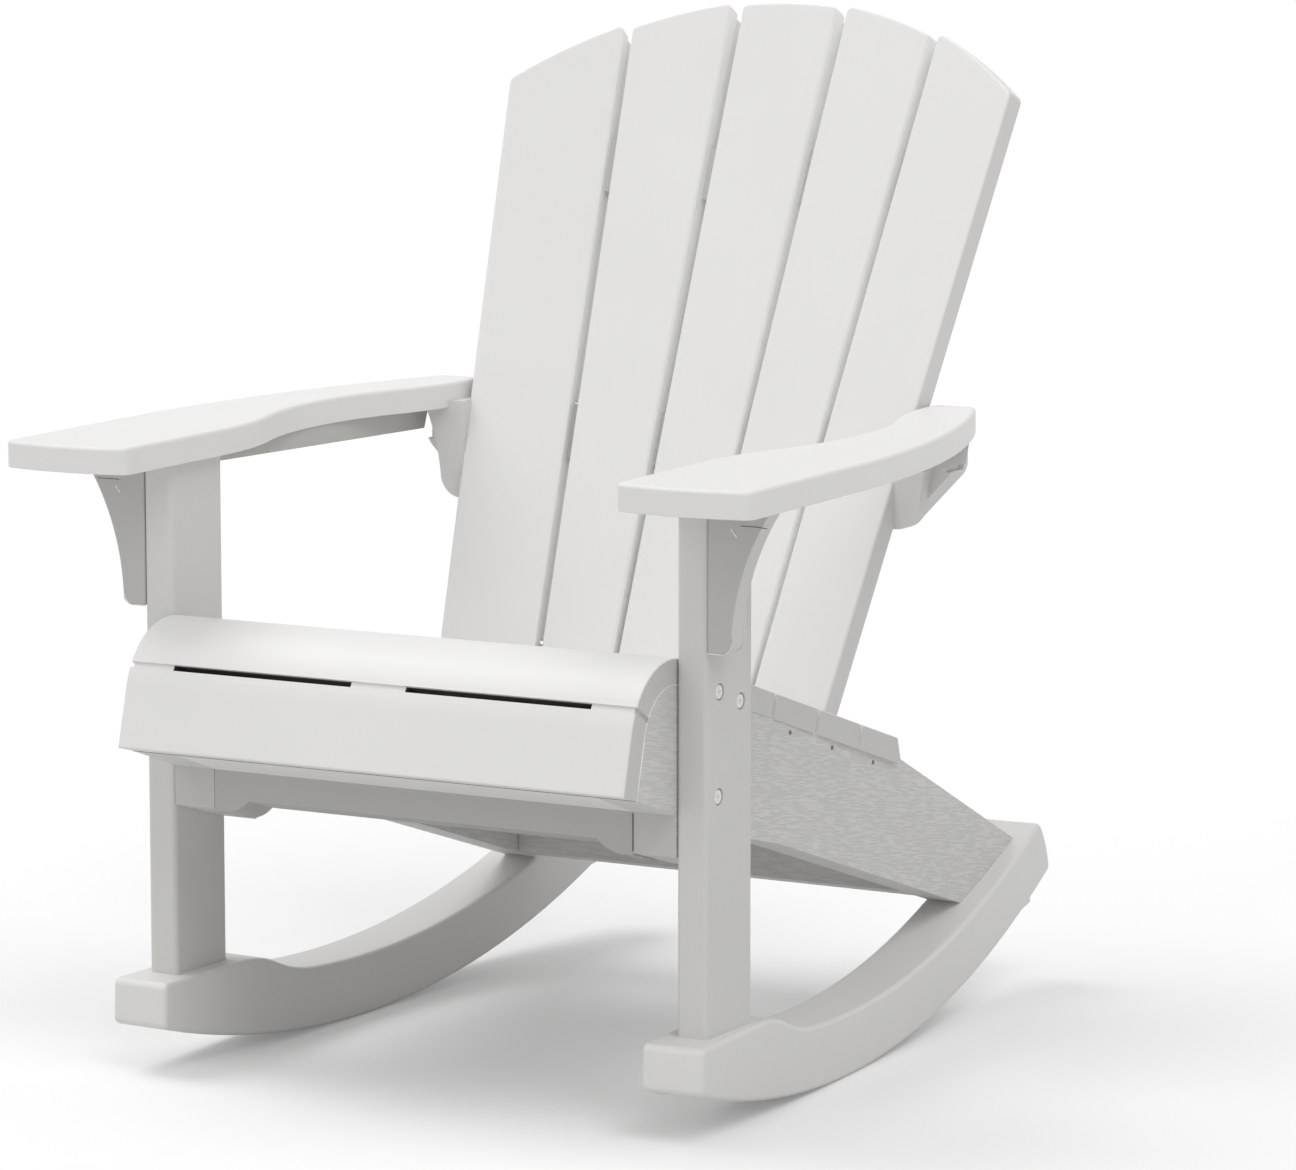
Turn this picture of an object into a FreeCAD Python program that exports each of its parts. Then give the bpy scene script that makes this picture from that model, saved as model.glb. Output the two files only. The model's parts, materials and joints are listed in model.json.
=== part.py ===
import FreeCAD, Part

import math
import os

# Rocking adirondack chair in moulded resin, in millimetres.
# The chair faces -Y, +X is the right of someone looking at its front, +Z is up.
# Sizes below are measured from the front face of the legs and from their feet, which
# stand on the rockers. HOME then puts the floor at Z = 0 and the chair's middle at Y = 0.

Vector = FreeCAD.Vector
Rotation = FreeCAD.Rotation
Placement = FreeCAD.Placement

SIZES = {
    # front legs
    "leg_span": 604.0,
    "leg_thick": 31.5,
    "leg_depth": 87.0,
    "leg_height": 490.0,
    "leg_edge": 5.0,
    # rockers
    "foot_height": 91.0,
    "rocker_width": 62.0,
    "rocker_ledge": 16.5,
    "rocker_toe": 2.9,
    "rocker_depth": 61.3,
    "rocker_low": 289.0,
    "rocker_under_radius": 1150.0,
    "rocker_upper_radius": 1110.0,
    "block_reach": 37.0,
    "block_lean": 2.0,
    "block_length": 132.0,
    "hump_radius": 121.0,
    "hump_turn": 24.4,
    "rear_reach": 785.0,
    "rear_set_back": 28.0,
    "rear_bulge": 4.0,
    "rocker_corner": 7.0,
    "rocker_edge": 4.5,
    "stop_ahead": 57.0,
    "stop_length": 22.0,
    "stop_drop": 6.5,
    "stop_width": 56.0,
    # seat
    "seat_width": 540.0,
    "seat_thick": 24.0,
    "seat_slope": 17.5,
    "crest_radius": 75.0,
    "crest_ahead": 8.0,
    "crest_height": 347.0,
    "apron_lean": 14.6,
    "apron_bottom": 234.0,
    "seat_end": 446.0,
    "board_pitch": 88.3,
    "last_board": 76.0,
    "seat_tail": 16.0,
    "groove_width": 6.0,
    "groove_depth": 2.5,
    "notch_depth": 3.0,
    "front_groove_angle": 30.4,
    "slot_inner": 29.0,
    "slot_outer": 223.0,
    "seat_edge": 2.0,
    # side panels
    "panel_thick": 44.0,
    "panel_rear_thick": 35.5,
    "panel_rear_top": 187.0,
    "panel_rear_slope": 24.8,
    "panel_foot_front": 603.0,
    "panel_belly_height": 166.0,
    "panel_belly_end": 112.0,
    "panel_bend_back": 205.0,
    "panel_bend_height": 142.6,
    "underside_slope": 16.8,
    "lug_depth": 72.0,
    "lug_bottom": 165.0,
    "clip_width": 6.0,
    "clip_height": 4.0,
    "clip_depth": 5.0,
    "clip_below_seat": 5.0,
    "clip_ahead": 60.0,
    # front cross-bar
    "bar_top": 203.0,
    "bar_depth": 42.0,
    "bar_foot_bottom": 163.0,
    "bar_arch_height": 175.0,
    "bar_arch_half": 188.0,
    "bar_arch_run": 22.0,
    "lip_thick": 4.5,
    # rear stretcher
    "stretcher_front": 565.0,
    "stretcher_depth": 36.0,
    "stretcher_bottom": 29.6,
    "stretcher_height": 85.0,
    "stretcher_wall": 6.0,
    # back
    "back_recline": 24.6,
    "back_y": 598.0,
    "back_z": 600.0,
    "slat_thick": 20.0,
    "slat_foot": 438.0,
    "slat_edge": 2.5,
    "slat_skin": 6.0,
    "slat_rim": 9.0,
    "rib_margin": 12.0,
    "crown_rise": 328.7,
    "crown_radius": 458.0,
    "outer_corner": 10.0,
    "slat_corner": 5.5,
    "batten_height": 57.0,
    "batten_thick": 16.0,
    "upper_batten_low": 118.0,
    "upper_batten_half": 252.0,
    "arm_batten_low": 167.0,
    "lower_batten_low": 420.0,
    "lower_batten_half": 200.0,
    # armrests
    "arm_thick": 25.5,
    "arm_rise": 0.6,
    "arm_inner": 258.5,
    "arm_outer": 395.0,
    "arm_reach": 100.0,
    "arm_bow": 9.0,
    "arm_corner": 10.0,
    "arm_waist": 298.0,
    "waist_start": 70.0,
    "waist_behind": 17.5,
    "waist_straight": 20.0,
    "arm_outer_bend": 110.0,
    "arm_rear_outer": 303.0,
    "arm_rear": 546.0,
    "arm_edge": 3.8,
    # ribs under the armrests
    "rib_outer": 312.0,
    "rib_thick": 12.0,
    "rib_front_drop": 12.2,
    "rib_rear_drop": 24.9,
    "rib_end": 506.0,
    # gussets under the front of the armrests
    "gusset_depth": 22.0,
    "gusset_bottom": 353.0,
    "gusset_round": 12.0,
    "gusset_waist": 25.0,
    "gusset_hollow": 38.0,
    "gusset_hollow_drop": 58.0,
    "gusset_reach": 72.0,
    # rear brackets of the arm rail
    "bracket_front": 488.0,
    "bracket_rear": 541.0,
    "bracket_plate": 18.0,
    "bracket_bottom": 402.0,
    "bracket_inner": 213.0,
    "bracket_reach": 291.0,
    "bracket_wall": 8.0,
    "strip_lap": 20.0,
    "pocket_low": 58.0,
    "pocket_high": 68.0,
    "pocket_out": 40.0,
    # screws
    "screw_head": 13.0,
    "screw_head_height": 3.0,
    "screw_recess": 16.0,
    "screw_recess_depth": 4.0,
    "screw_shank": 5.0,
    "screw_cross": 1.6,
    "screw_cross_length": 7.0,
    "screw_cross_depth": 1.5,
    # bolts that hold the legs on the rockers
    "bolt_head": 13.0,
    "bolt_head_height": 5.0,
    "bolt_shank": 8.0,
    "bolt_recess": 17.0,
    "bolt_seat": 38.0,
    "bolt_in_leg": 45.0,
    # screws of the back's battens
    "back_screw_head": 9.0,
    "back_screw_head_height": 2.5,
    "back_screw_shank": 4.0,
    "back_screw_bite": 13.0,
}

# The screws of a leg, as (distance behind the leg's front face, height above its foot).
SCREWS = [(24.0, 315.0), (64.0, 301.0), (22.5, 219.5)]

# The bolts under a leg, as distances behind the leg's front face.
BOLTS = [22.0, 60.0]

# The back's slats from the middle out, in the plane of the back: half widths at the
# reference height as (inner edge, outer edge), their change per millimetre of rise as
# (inner, outer), and how far the edges stand forward of the middle slat.
SLATS = {
    "middle": {"edges": (-46.9, 46.9), "fan": (-0.0214, 0.0214), "forward": (1.5, 1.5)},
    "inner": {"edges": (55.9, 148.1), "fan": (0.0322, 0.0739), "forward": (3.9, 12.6)},
    "outer": {"edges": (156.4, 261.4), "fan": (0.0786, 0.1037), "forward": (14.4, 39.2)},
}

# The lower edges of the arm rail's brackets, as (outward, up) from their inner lower
# corner, where a pair of points is an arc's middle and end.
PLATE_EDGE = [(0.0, 2.0), (33.0, 2.0), ((49.0, 8.0), (57.0, 22.0))]
PLATE_FLARE = (61.0, 50.0)
BLOCK_EDGE = [(0.0, 0.0), (22.0, 0.0), ((30.0, 3.0), (37.0, 9.0)), (79.0, 53.0), ((83.0, 60.0), (84.0, 70.0))]

# Where the corner curve of the front bar's arch passes, as shares of its run and its rise.
ARCH_EASE = (0.35, 0.45)

# Share of its radius by which the round of a rocker's rear corner shortens the rocker.
REAR_ROUND_LOSS = 0.18

doc = FreeCAD.newDocument("RockingAdirondack")
sheet = doc.addObject("Spreadsheet::Sheet", "Sizes")
for row, (alias, value) in enumerate(SIZES.items(), start=1):
    sheet.set("A%d" % row, alias)
    sheet.set("B%d" % row, str(value))
    sheet.setAlias("B%d" % row, alias)
doc.recompute()


def size(alias):
    """Read one driving dimension from the sheet."""
    return float(sheet.get(alias))


# places that follow from the driving dimensions
LEG_OUTER = size("leg_span") / 2
LEG_INNER = LEG_OUTER - size("leg_thick")
PANEL_OUTER = size("seat_width") / 2
PANEL_INNER = PANEL_OUTER - size("panel_thick")
ROCKER_OUTER = LEG_OUTER + size("rocker_ledge")
TOE = math.radians(size("rocker_toe"))
# The toe-in and the round of the rear corner bring the rockers' rear ends forward a little.
REAR_END = (size("rear_reach") + size("block_reach")) * math.cos(TOE) - size("block_reach")
REAR_END -= size("rocker_corner") * REAR_ROUND_LOSS
HOME = Placement(Vector(0, (size("arm_reach") - REAR_END) / 2, size("foot_height")), Rotation())


def heading(angle):
    """Unit direction in the (y, z) plane, for an angle above the chair's rearward axis."""
    return (math.cos(math.radians(angle)), math.sin(math.radians(angle)))


def along(point, direction, distance):
    """The point that lies a distance from another along a direction."""
    return (point[0] + direction[0] * distance, point[1] + direction[1] * distance)


def arc_middle(centre, radius, start, end):
    """Middle of the shorter arc from start to end round a centre."""
    mid = ((start[0] + end[0]) / 2 - centre[0], (start[1] + end[1]) / 2 - centre[1])
    reach = math.hypot(mid[0], mid[1])
    return (centre[0] + mid[0] * radius / reach, centre[1] + mid[1] * radius / reach)


def circle_height(middle, bottom, radius, position):
    """Height of a hanging circle at a position along Y."""
    return bottom + radius - math.sqrt(radius ** 2 - (position - middle) ** 2)


def origin_plane(body, role):
    """One of a body's own origin planes."""
    return [item for item in body.Origin.OriginFeatures if item.Role == role][0]


def outline(body, name, role, path):
    """Sketch a closed path: a list of points, where a pair of points is an arc's middle and end."""
    sketch = body.newObject("Sketcher::SketchObject", name)
    sketch.AttachmentSupport = [(origin_plane(body, role), "")]
    sketch.MapMode = "FlatFace"
    start = path[0]
    here = Vector(start[0], start[1], 0)
    for step in list(path[1:]) + [start]:
        if isinstance(step[0], tuple):
            middle = Vector(step[0][0], step[0][1], 0)
            there = Vector(step[1][0], step[1][1], 0)
            sketch.addGeometry(Part.Arc(here, middle, there), False)
        else:
            there = Vector(step[0], step[1], 0)
            if there.distanceToPoint(here) < 1e-6:
                continue
            sketch.addGeometry(Part.LineSegment(here, there), False)
        here = there
    return sketch


def prism(name, role, path, length, middle=False, reverse=False):
    """A body padded from a closed path. The length is an expression on the sheet."""
    body = doc.addObject("PartDesign::Body", name)
    sketch = outline(body, name + "_outline", role, path)
    pad = body.newObject("PartDesign::Pad", name + "_pad")
    pad.Profile = sketch
    pad.setExpression("Length", length)
    pad.Midplane = middle
    pad.Reversed = reverse
    sketch.Visibility = False
    doc.recompute()
    return body


def soften(body, radius, chosen):
    """Round the edges of a body that a test picks, by a radius on the sheet."""
    tip = body.Tip
    names = []
    for number, edge in enumerate(tip.Shape.Edges, start=1):
        if chosen(edge):
            names.append("Edge%d" % number)
    fillet = body.newObject("PartDesign::Fillet", body.Name + "_fillet")
    fillet.Base = (tip, names)
    fillet.setExpression("Radius", radius)
    doc.recompute()
    return body


def box(name, length, width, height, corner):
    """A box whose three sizes are expressions and whose corner is a place."""
    block = doc.addObject("Part::Box", name)
    block.setExpression("Length", length)
    block.setExpression("Width", width)
    block.setExpression("Height", height)
    block.Placement = Placement(corner, Rotation())
    return block


def cylinder(name, radius, height, place):
    """A cylinder whose radius and height are expressions."""
    rod = doc.addObject("Part::Cylinder", name)
    rod.setExpression("Radius", radius)
    rod.setExpression("Height", height)
    rod.Placement = place
    return rod


def cut(name, base, *tools):
    """Take one or more objects away from another."""
    tool = tools[0]
    if len(tools) > 1:
        tool = fuse(name + "_tools", *tools)
    result = doc.addObject("Part::Cut", name)
    result.Base = base
    result.Tool = tool
    doc.recompute()
    return result


def fuse(name, *pieces):
    """Join pieces into one object."""
    result = doc.addObject("Part::MultiFuse", name)
    result.Shapes = list(pieces)
    result.Refine = True
    doc.recompute()
    return result


def gather(name, *pieces):
    """Keep several separate solids together in one object."""
    result = doc.addObject("Part::Compound", name)
    result.Links = list(pieces)
    doc.recompute()
    return result


def mirrored(name, source):
    """The same piece on the chair's left side."""
    result = doc.addObject("Part::Mirroring", name)
    result.Source = source
    result.Base = Vector(0, 0, 0)
    result.Normal = Vector(1, 0, 0)
    doc.recompute()
    return result


def constant_x(edge):
    """Whether an edge lies in a plane across the chair's width."""
    ends = [vertex.Point.x for vertex in edge.Vertexes]
    return max(ends) - min(ends) < 1e-6 and abs(edge.CenterOfMass.x - ends[0]) < 1e-6


parts = {}


def keep(label, piece):
    """Name a finished piece of the chair."""
    piece.Label = label
    parts[label] = piece
    return piece


# Rockers: a bow with a raised block in front, which carries the leg.

ROCKER_BOTTOM = -size("foot_height")
ROCKER_TROUGH = ROCKER_BOTTOM + size("rocker_depth")


def under(position):
    """A point on the rocker's rolling surface."""
    height = circle_height(size("rocker_low"), ROCKER_BOTTOM, size("rocker_under_radius"), position)
    return (position, height)


def upper(position):
    """A point on the long hollow of the rocker's upper surface."""
    height = circle_height(size("rocker_low"), ROCKER_TROUGH, size("rocker_upper_radius"), position)
    return (position, height)


def rocker_path():
    """The rocker's side view as (y, z) points and arcs."""
    front_top = (-size("block_reach"), 0.0)
    front_foot = under(front_top[0] - size("block_lean"))
    rear_foot = under(size("rear_reach"))
    rear_top = upper(size("rear_reach") - size("rear_set_back"))
    rear_middle = (
        (rear_foot[0] + rear_top[0]) / 2 + size("rear_bulge"),
        (rear_foot[1] + rear_top[1]) / 2 + size("rear_bulge") / 2,
    )
    hump_end = (front_top[0] + size("block_length"), 0.0)
    turn = math.radians(size("hump_turn"))
    normal = (math.sin(turn), math.cos(turn))
    hump_centre = (hump_end[0], -size("hump_radius"))
    bend = along(hump_centre, normal, size("hump_radius"))
    bow_radius = size("rocker_upper_radius")
    bow_centre = (size("rocker_low"), ROCKER_TROUGH + bow_radius)
    gap = (bow_centre[0] - bend[0], bow_centre[1] - bend[1])
    reach = gap[0] * normal[0] + gap[1] * normal[1]
    hollow = (gap[0] ** 2 + gap[1] ** 2 - bow_radius ** 2) / (2 * (reach - bow_radius))
    hollow_centre = along(bend, normal, hollow)
    away = (hollow_centre[0] - bow_centre[0], hollow_centre[1] - bow_centre[1])
    spread = math.hypot(away[0], away[1])
    join = along(bow_centre, (away[0] / spread, away[1] / spread), bow_radius)
    return [
        front_top,
        front_foot,
        (under((front_foot[0] + rear_foot[0]) / 2), rear_foot),
        (rear_middle, rear_top),
        (upper((join[0] + rear_top[0]) / 2), join),
        (arc_middle(hollow_centre, hollow, join, bend), bend),
        (arc_middle(hump_centre, size("hump_radius"), bend, hump_end), hump_end),
    ]


def toed_in(piece):
    """Turn a piece of the right rocker about the outer front corner of its block."""
    corner = Vector(ROCKER_OUTER, -size("block_reach"), 0)
    swing = Placement(Vector(0, 0, 0), Rotation(Vector(0, 0, 1), size("rocker_toe")), Vector(0, 0, 0))
    back = Placement(Vector(0, size("block_reach"), 0), Rotation())
    return HOME * Placement(corner, Rotation()) * swing * back * piece


def rocker_corner(edge):
    """Whether an edge is one of the four corners of the rocker's side view."""
    middle = edge.CenterOfMass
    path = rocker_path()
    corners = [path[0], path[1], path[2][1], path[3][1]]
    return any(math.hypot(middle.y - y, middle.z - z) < 1e-3 for y, z in corners)


rocker = prism("rocker", "YZ_Plane", rocker_path(), "Sizes.rocker_width", reverse=True)
soften(rocker, "Sizes.rocker_corner", rocker_corner)
soften(rocker, "Sizes.rocker_edge", constant_x)
rocker.Placement = toed_in(Placement())

bolt_cutters = []
bolts = []
for number, behind in enumerate(BOLTS):
    across = LEG_OUTER - size("leg_thick") / 2
    foot = HOME * Placement(Vector(across, behind, -size("bolt_seat")), Rotation())
    bore = cylinder("bolt_bore_%d" % number, "Sizes.bolt_shank / 2",
                    "Sizes.bolt_seat + Sizes.bolt_in_leg", foot)
    below = foot * Placement(Vector(0, 0, -size("foot_height")), Rotation())
    recess = cylinder("bolt_recess_%d" % number, "Sizes.bolt_recess / 2", "Sizes.foot_height", below)
    bolt_cutters += [bore, recess]
    under_head = foot * Placement(Vector(0, 0, -size("bolt_head_height")), Rotation())
    head = cylinder("bolt_head_%d" % number, "Sizes.bolt_head / 2", "Sizes.bolt_head_height", under_head)
    shank = cylinder("bolt_shank_%d" % number, "Sizes.bolt_shank / 2",
                     "Sizes.bolt_seat + Sizes.bolt_in_leg", foot)
    bolts.append(fuse("bolt_%d" % number, head, shank))
rocker_fitted = cut("rocker_fitted", rocker, *bolt_cutters)
keep("rocker_right", rocker_fitted)
keep("rocker_left", mirrored("rocker_mirror", rocker_fitted))
leg_bolts = gather("leg_bolts", *bolts)
keep("leg_bolts_right", leg_bolts)
keep("leg_bolts_left", mirrored("leg_bolts_mirror", leg_bolts))

stop_position = size("rear_reach") - size("stop_ahead")
stop_start = stop_position - size("stop_length") / 2
stop_end = stop_position + size("stop_length") / 2
stop_path = [
    (stop_start, under(stop_start)[1] - size("stop_drop") / 6),
    (stop_end, under(stop_end)[1] - size("stop_drop")),
    (stop_end, under(stop_end)[1] + size("stop_drop")),
    (stop_start, under(stop_start)[1] + size("stop_drop")),
]
stop_blank = prism("stop", "YZ_Plane", stop_path, "Sizes.stop_width", reverse=True)
stop_margin = (size("rocker_width") - size("stop_width")) / 2
stop_blank.Placement = toed_in(Placement(Vector(-stop_margin, 0, 0), Rotation()))
stop = cut("stop_fitted", stop_blank, rocker)
keep("rocker_stop_right", stop)
keep("rocker_stop_left", mirrored("stop_mirror", stop))


# Seat: one moulding of mock boards that rolls over a crest into the front apron.

SLOPE = heading(-size("seat_slope"))
SLOPE_NORMAL = (-SLOPE[1], SLOPE[0])
APRON = (
    -math.sin(math.radians(size("apron_lean"))),
    -math.cos(math.radians(size("apron_lean"))),
)
APRON_NORMAL = (APRON[1], -APRON[0])
CREST = (-size("crest_ahead"), size("crest_height") - size("crest_radius"))


def seat_points(depth):
    """Key points of the seat's side view at a depth below its surface."""
    radius = size("crest_radius") - depth
    apron_top = along(CREST, APRON_NORMAL, radius)
    slope_top = along(CREST, SLOPE_NORMAL, radius)
    surface_top = along(CREST, APRON_NORMAL, size("crest_radius"))
    drop = (surface_top[1] - size("apron_bottom")) / -APRON[1]
    surface_slope_top = along(CREST, SLOPE_NORMAL, size("crest_radius"))
    run = (size("seat_end") - surface_slope_top[0]) / SLOPE[0]
    run += size("seat_tail") * depth / size("seat_thick")
    return {
        "apron_foot": along(apron_top, APRON, drop),
        "apron_top": apron_top,
        "slope_top": slope_top,
        "end": along(slope_top, SLOPE, run),
        "radius": radius,
    }


def seat_surface(depth, position):
    """Height of the seat's sloping part at a position along Y."""
    points = seat_points(depth)
    start = points["slope_top"]
    return start[1] + (position - start[0]) * SLOPE[1] / SLOPE[0]


top_line = seat_points(0.0)
low_line = seat_points(size("seat_thick"))
seat_path = [
    top_line["apron_foot"],
    top_line["apron_top"],
    (arc_middle(CREST, top_line["radius"], top_line["apron_top"], top_line["slope_top"]),
     top_line["slope_top"]),
    top_line["end"],
    low_line["end"],
    low_line["slope_top"],
    (arc_middle(CREST, low_line["radius"], low_line["slope_top"], low_line["apron_top"]),
     low_line["apron_top"]),
    low_line["apron_foot"],
]
seat_blank = prism("seat", "YZ_Plane", seat_path, "Sizes.seat_width", middle=True)


def seat_edge(edge):
    """Whether an edge is on the outside of the seat's two ends or along its apron's foot."""
    foot = top_line["apron_foot"]
    middle = edge.CenterOfMass
    if abs(middle.y - foot[0]) < 1e-6 and abs(middle.z - foot[1]) < 1e-6:
        return True
    ends = abs(abs(middle.x) - size("seat_width") / 2) < 1e-6
    start = top_line["slope_top"]
    height = (middle.y - start[0]) * SLOPE_NORMAL[0] + (middle.z - start[1]) * SLOPE_NORMAL[1]
    flat = (middle.y - start[0]) * SLOPE[0] + (middle.z - start[1]) * SLOPE[1]
    ahead = (middle.y - foot[0]) * APRON_NORMAL[0] + (middle.z - foot[1]) * APRON_NORMAL[1]
    on_slope = abs(height) < 1e-6 and flat > 0
    on_apron = abs(ahead) < 1e-6
    return ends and (on_slope or on_apron or middle.z > low_line["slope_top"][1] + 1.0)


soften(seat_blank, "Sizes.seat_edge", seat_edge)
seat_blank.Placement = HOME

# Each joint between two mock boards is a groove with a notch at each end and two slots.


def joint_frame(surface, angle):
    """Placement of a cutter whose Z points out of the seat's surface."""
    turn = Rotation(Vector(1, 0, 0), angle)
    return HOME * Placement(Vector(0, surface[0], surface[1]), turn)


def joint_cutters(name, frame):
    """The groove, its end notches and its slots, made about one line across the seat."""
    half = size("seat_width") / 2
    deep = size("seat_thick") + size("groove_depth")
    pieces = []
    groove = box(name + "_groove", "Sizes.seat_width + Sizes.notch_depth * 2", "Sizes.groove_width",
                 "Sizes.groove_depth * 2", Vector())
    corner = Vector(-half - size("notch_depth"), -size("groove_width") / 2, -size("groove_depth"))
    groove.Placement = frame * Placement(corner, Rotation())
    pieces.append(groove)
    for side, start in (("right", half - size("notch_depth")), ("left", -half - size("notch_depth"))):
        notch = box(name + "_notch_" + side, "Sizes.notch_depth * 2", "Sizes.groove_width",
                    "Sizes.seat_thick * 2 + Sizes.groove_depth", Vector())
        corner = Vector(start, -size("groove_width") / 2, -size("seat_thick") * 1.5)
        notch.Placement = frame * Placement(corner, Rotation())
        pieces.append(notch)
    for side, start in (("right", size("slot_inner")), ("left", -size("slot_outer"))):
        slot = box(name + "_slot_" + side, "Sizes.slot_outer - Sizes.slot_inner", "Sizes.groove_width",
                   "Sizes.seat_thick * 2", Vector())
        corner = Vector(start, -size("groove_width") / 2, -deep)
        slot.Placement = frame * Placement(corner, Rotation())
        pieces.append(slot)
    return pieces


groove_angle = math.radians(size("front_groove_angle"))
groove_normal = (-math.cos(groove_angle), math.sin(groove_angle))
front_joint = along(CREST, groove_normal, size("crest_radius"))
cutters = joint_cutters("joint_front", joint_frame(front_joint, 90.0 - size("front_groove_angle")))
last_joint = size("seat_end") - size("last_board")
board_count = int((last_joint - top_line["slope_top"][0]) / size("board_pitch")) + 1
for number in range(board_count):
    position = last_joint - number * size("board_pitch")
    surface = (position, seat_surface(0.0, position))
    cutters += joint_cutters("joint_%d" % number, joint_frame(surface, -size("seat_slope")))
seat = cut("seat_grooved", seat_blank, *cutters)
keep("seat", seat)


# Side panels: hollow-looking rails from under the crest back to the rockers' rear ends.

panel_end = low_line["end"]
rear_slope = math.tan(math.radians(size("panel_rear_slope")))


def panel_rear(position):
    """A point on the panel's upper edge behind the seat."""
    return (position, size("panel_rear_top") - (position - panel_end[0]) * rear_slope)


# The panel's upper edge runs down into the rocker, a little past the rocker's upper surface.
panel_meet = panel_end[0]
while panel_rear(panel_meet)[1] > upper(panel_meet)[1]:
    panel_meet += size("rocker_edge")
panel_tail = panel_meet + size("rocker_depth") / 6
belly_slope = math.tan(math.radians(size("underside_slope")))
bar_front_top = (0.0, size("bar_top"))
lug_back = size("lug_bottom") - size("lug_depth") * belly_slope
foot_front = upper(size("panel_foot_front"))
panel_path = [
    low_line["apron_foot"],
    low_line["apron_top"],
    (arc_middle(CREST, low_line["radius"], low_line["apron_top"], low_line["slope_top"]),
     low_line["slope_top"]),
    panel_end,
    panel_rear(panel_end[0]),
    panel_rear(panel_tail),
    (panel_tail, upper(panel_tail)[1] - size("rocker_depth") / 3),
    (size("panel_foot_front") + size("rocker_depth") / 4,
     foot_front[1] - size("rocker_depth") / 4),
    foot_front,
    (size("panel_bend_back"), size("panel_bend_height")),
    (size("panel_belly_end"), size("panel_belly_height")),
    (size("lug_depth"), size("panel_belly_height")),
    (size("lug_depth"), lug_back),
    (0.0, size("lug_bottom")),
    bar_front_top,
]
panel_blank = prism("panel", "YZ_Plane", panel_path, "Sizes.panel_thick")
panel_blank.Placement = HOME * Placement(Vector(PANEL_INNER, 0, 0), Rotation())

# The outer face draws in towards the rear, from behind the leg.
taper_start = size("leg_depth")
taper = math.degrees(math.atan2(
    size("panel_thick") - size("panel_rear_thick"),
    size("rear_reach") - size("rear_set_back") - taper_start,
))
shave = box("panel_shave", "Sizes.panel_thick", "Sizes.rear_reach", "Sizes.leg_height", Vector())
shave.Placement = HOME * Placement(
    Vector(PANEL_OUTER, taper_start, ROCKER_BOTTOM), Rotation(Vector(0, 0, 1), taper))

clips = []
for number in range(3):
    position = last_joint - size("board_pitch") * (number - 1) - size("clip_ahead")
    height = seat_surface(size("seat_thick"), position) - size("clip_below_seat")
    clip = box("clip_%d" % number, "Sizes.clip_depth * 3", "Sizes.clip_width", "Sizes.clip_height", Vector())
    clip.Placement = HOME * Placement(
        Vector(PANEL_OUTER - size("clip_depth") * 2, position, height - size("clip_height")),
        Rotation(Vector(1, 0, 0), -size("seat_slope")))
    clips.append(clip)

leg_pad = doc.addObject("Part::Box", "leg_pad")
leg_pad.setExpression(
    "Length", "Sizes.leg_span / 2 - Sizes.leg_thick - Sizes.seat_width / 2 + Sizes.leg_edge")
leg_pad.setExpression("Width", "Sizes.leg_depth - Sizes.leg_edge * 2")
leg_pad.Height = low_line["slope_top"][1] - size("panel_belly_height") - size("seat_thick")
leg_pad.Placement = HOME * Placement(
    Vector(PANEL_OUTER - size("leg_edge"), size("leg_edge"), size("panel_belly_height")), Rotation())
panel_cut = cut("panel_cut", panel_blank, shave, rocker, *clips)
panel_joined = fuse("panel_joined", panel_cut, leg_pad)


# Armrests: paddles that are wide in front and narrow past a waist towards the rear.


def s_curve(start, end):
    """Two equal arcs from start to end that leave and arrive along Y."""
    across = end[0] - start[0]
    run = end[1] - start[1]
    half_turn = math.atan2(abs(across), run)
    radius = run / (2 * math.sin(2 * half_turn))
    side = 1 if across > 0 else -1
    middle = ((start[0] + end[0]) / 2, (start[1] + end[1]) / 2)
    first_centre = (start[0] + side * radius, start[1])
    second_centre = (end[0] - side * radius, end[1])
    return [
        (arc_middle(first_centre, radius, start, middle), middle),
        (arc_middle(second_centre, radius, middle, end), end),
    ]


def backward(start, steps):
    """The same lines and arcs walked the other way."""
    points = [start]
    for step in steps:
        points.append(step[1] if isinstance(step[0], tuple) else step)
    walked = []
    for number in range(len(steps) - 1, -1, -1):
        if isinstance(steps[number][0], tuple):
            walked.append((steps[number][0], points[number]))
        else:
            walked.append(points[number])
    return walked


WAIST_MIDDLE = (size("leg_depth") + size("bracket_front")) / 2 + size("waist_behind")
WAIST_FRONT = (size("arm_waist"), WAIST_MIDDLE - size("waist_straight") / 2)
WAIST_REAR = (size("arm_waist"), WAIST_MIDDLE + size("waist_straight") / 2)
INNER_REAR = (size("arm_inner"), size("arm_rear") - size("arm_corner") * 2)
INNER_FRONT = (size("arm_inner"), size("waist_start"))
INNER_STEPS = s_curve(INNER_FRONT, WAIST_FRONT) + [WAIST_REAR] + s_curve(WAIST_REAR, INNER_REAR)


def arm_path():
    """The armrest seen from above, as (x, y) points and arcs."""
    edge = -size("arm_reach") + size("arm_bow")
    rear_outer = (size("arm_rear_outer"), size("arm_rear"))
    across = size("arm_outer") - rear_outer[0]
    run = rear_outer[1] - size("arm_outer_bend")
    radius = (run ** 2 + across ** 2) / (2 * across)
    bend = (size("arm_outer"), size("arm_outer_bend"))
    centre = (bend[0] - radius, bend[1])
    middle = (size("arm_inner") + size("arm_outer")) / 2
    path = [
        (size("arm_inner"), edge),
        ((middle, -size("arm_reach")), (size("arm_outer"), edge)),
        bend,
        (arc_middle(centre, radius, bend, rear_outer), rear_outer),
        (size("arm_inner"), size("arm_rear")),
        INNER_REAR,
    ]
    return path + backward(INNER_FRONT, INNER_STEPS)


ARM_SLOPE = math.tan(math.radians(size("arm_rise")))


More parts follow.
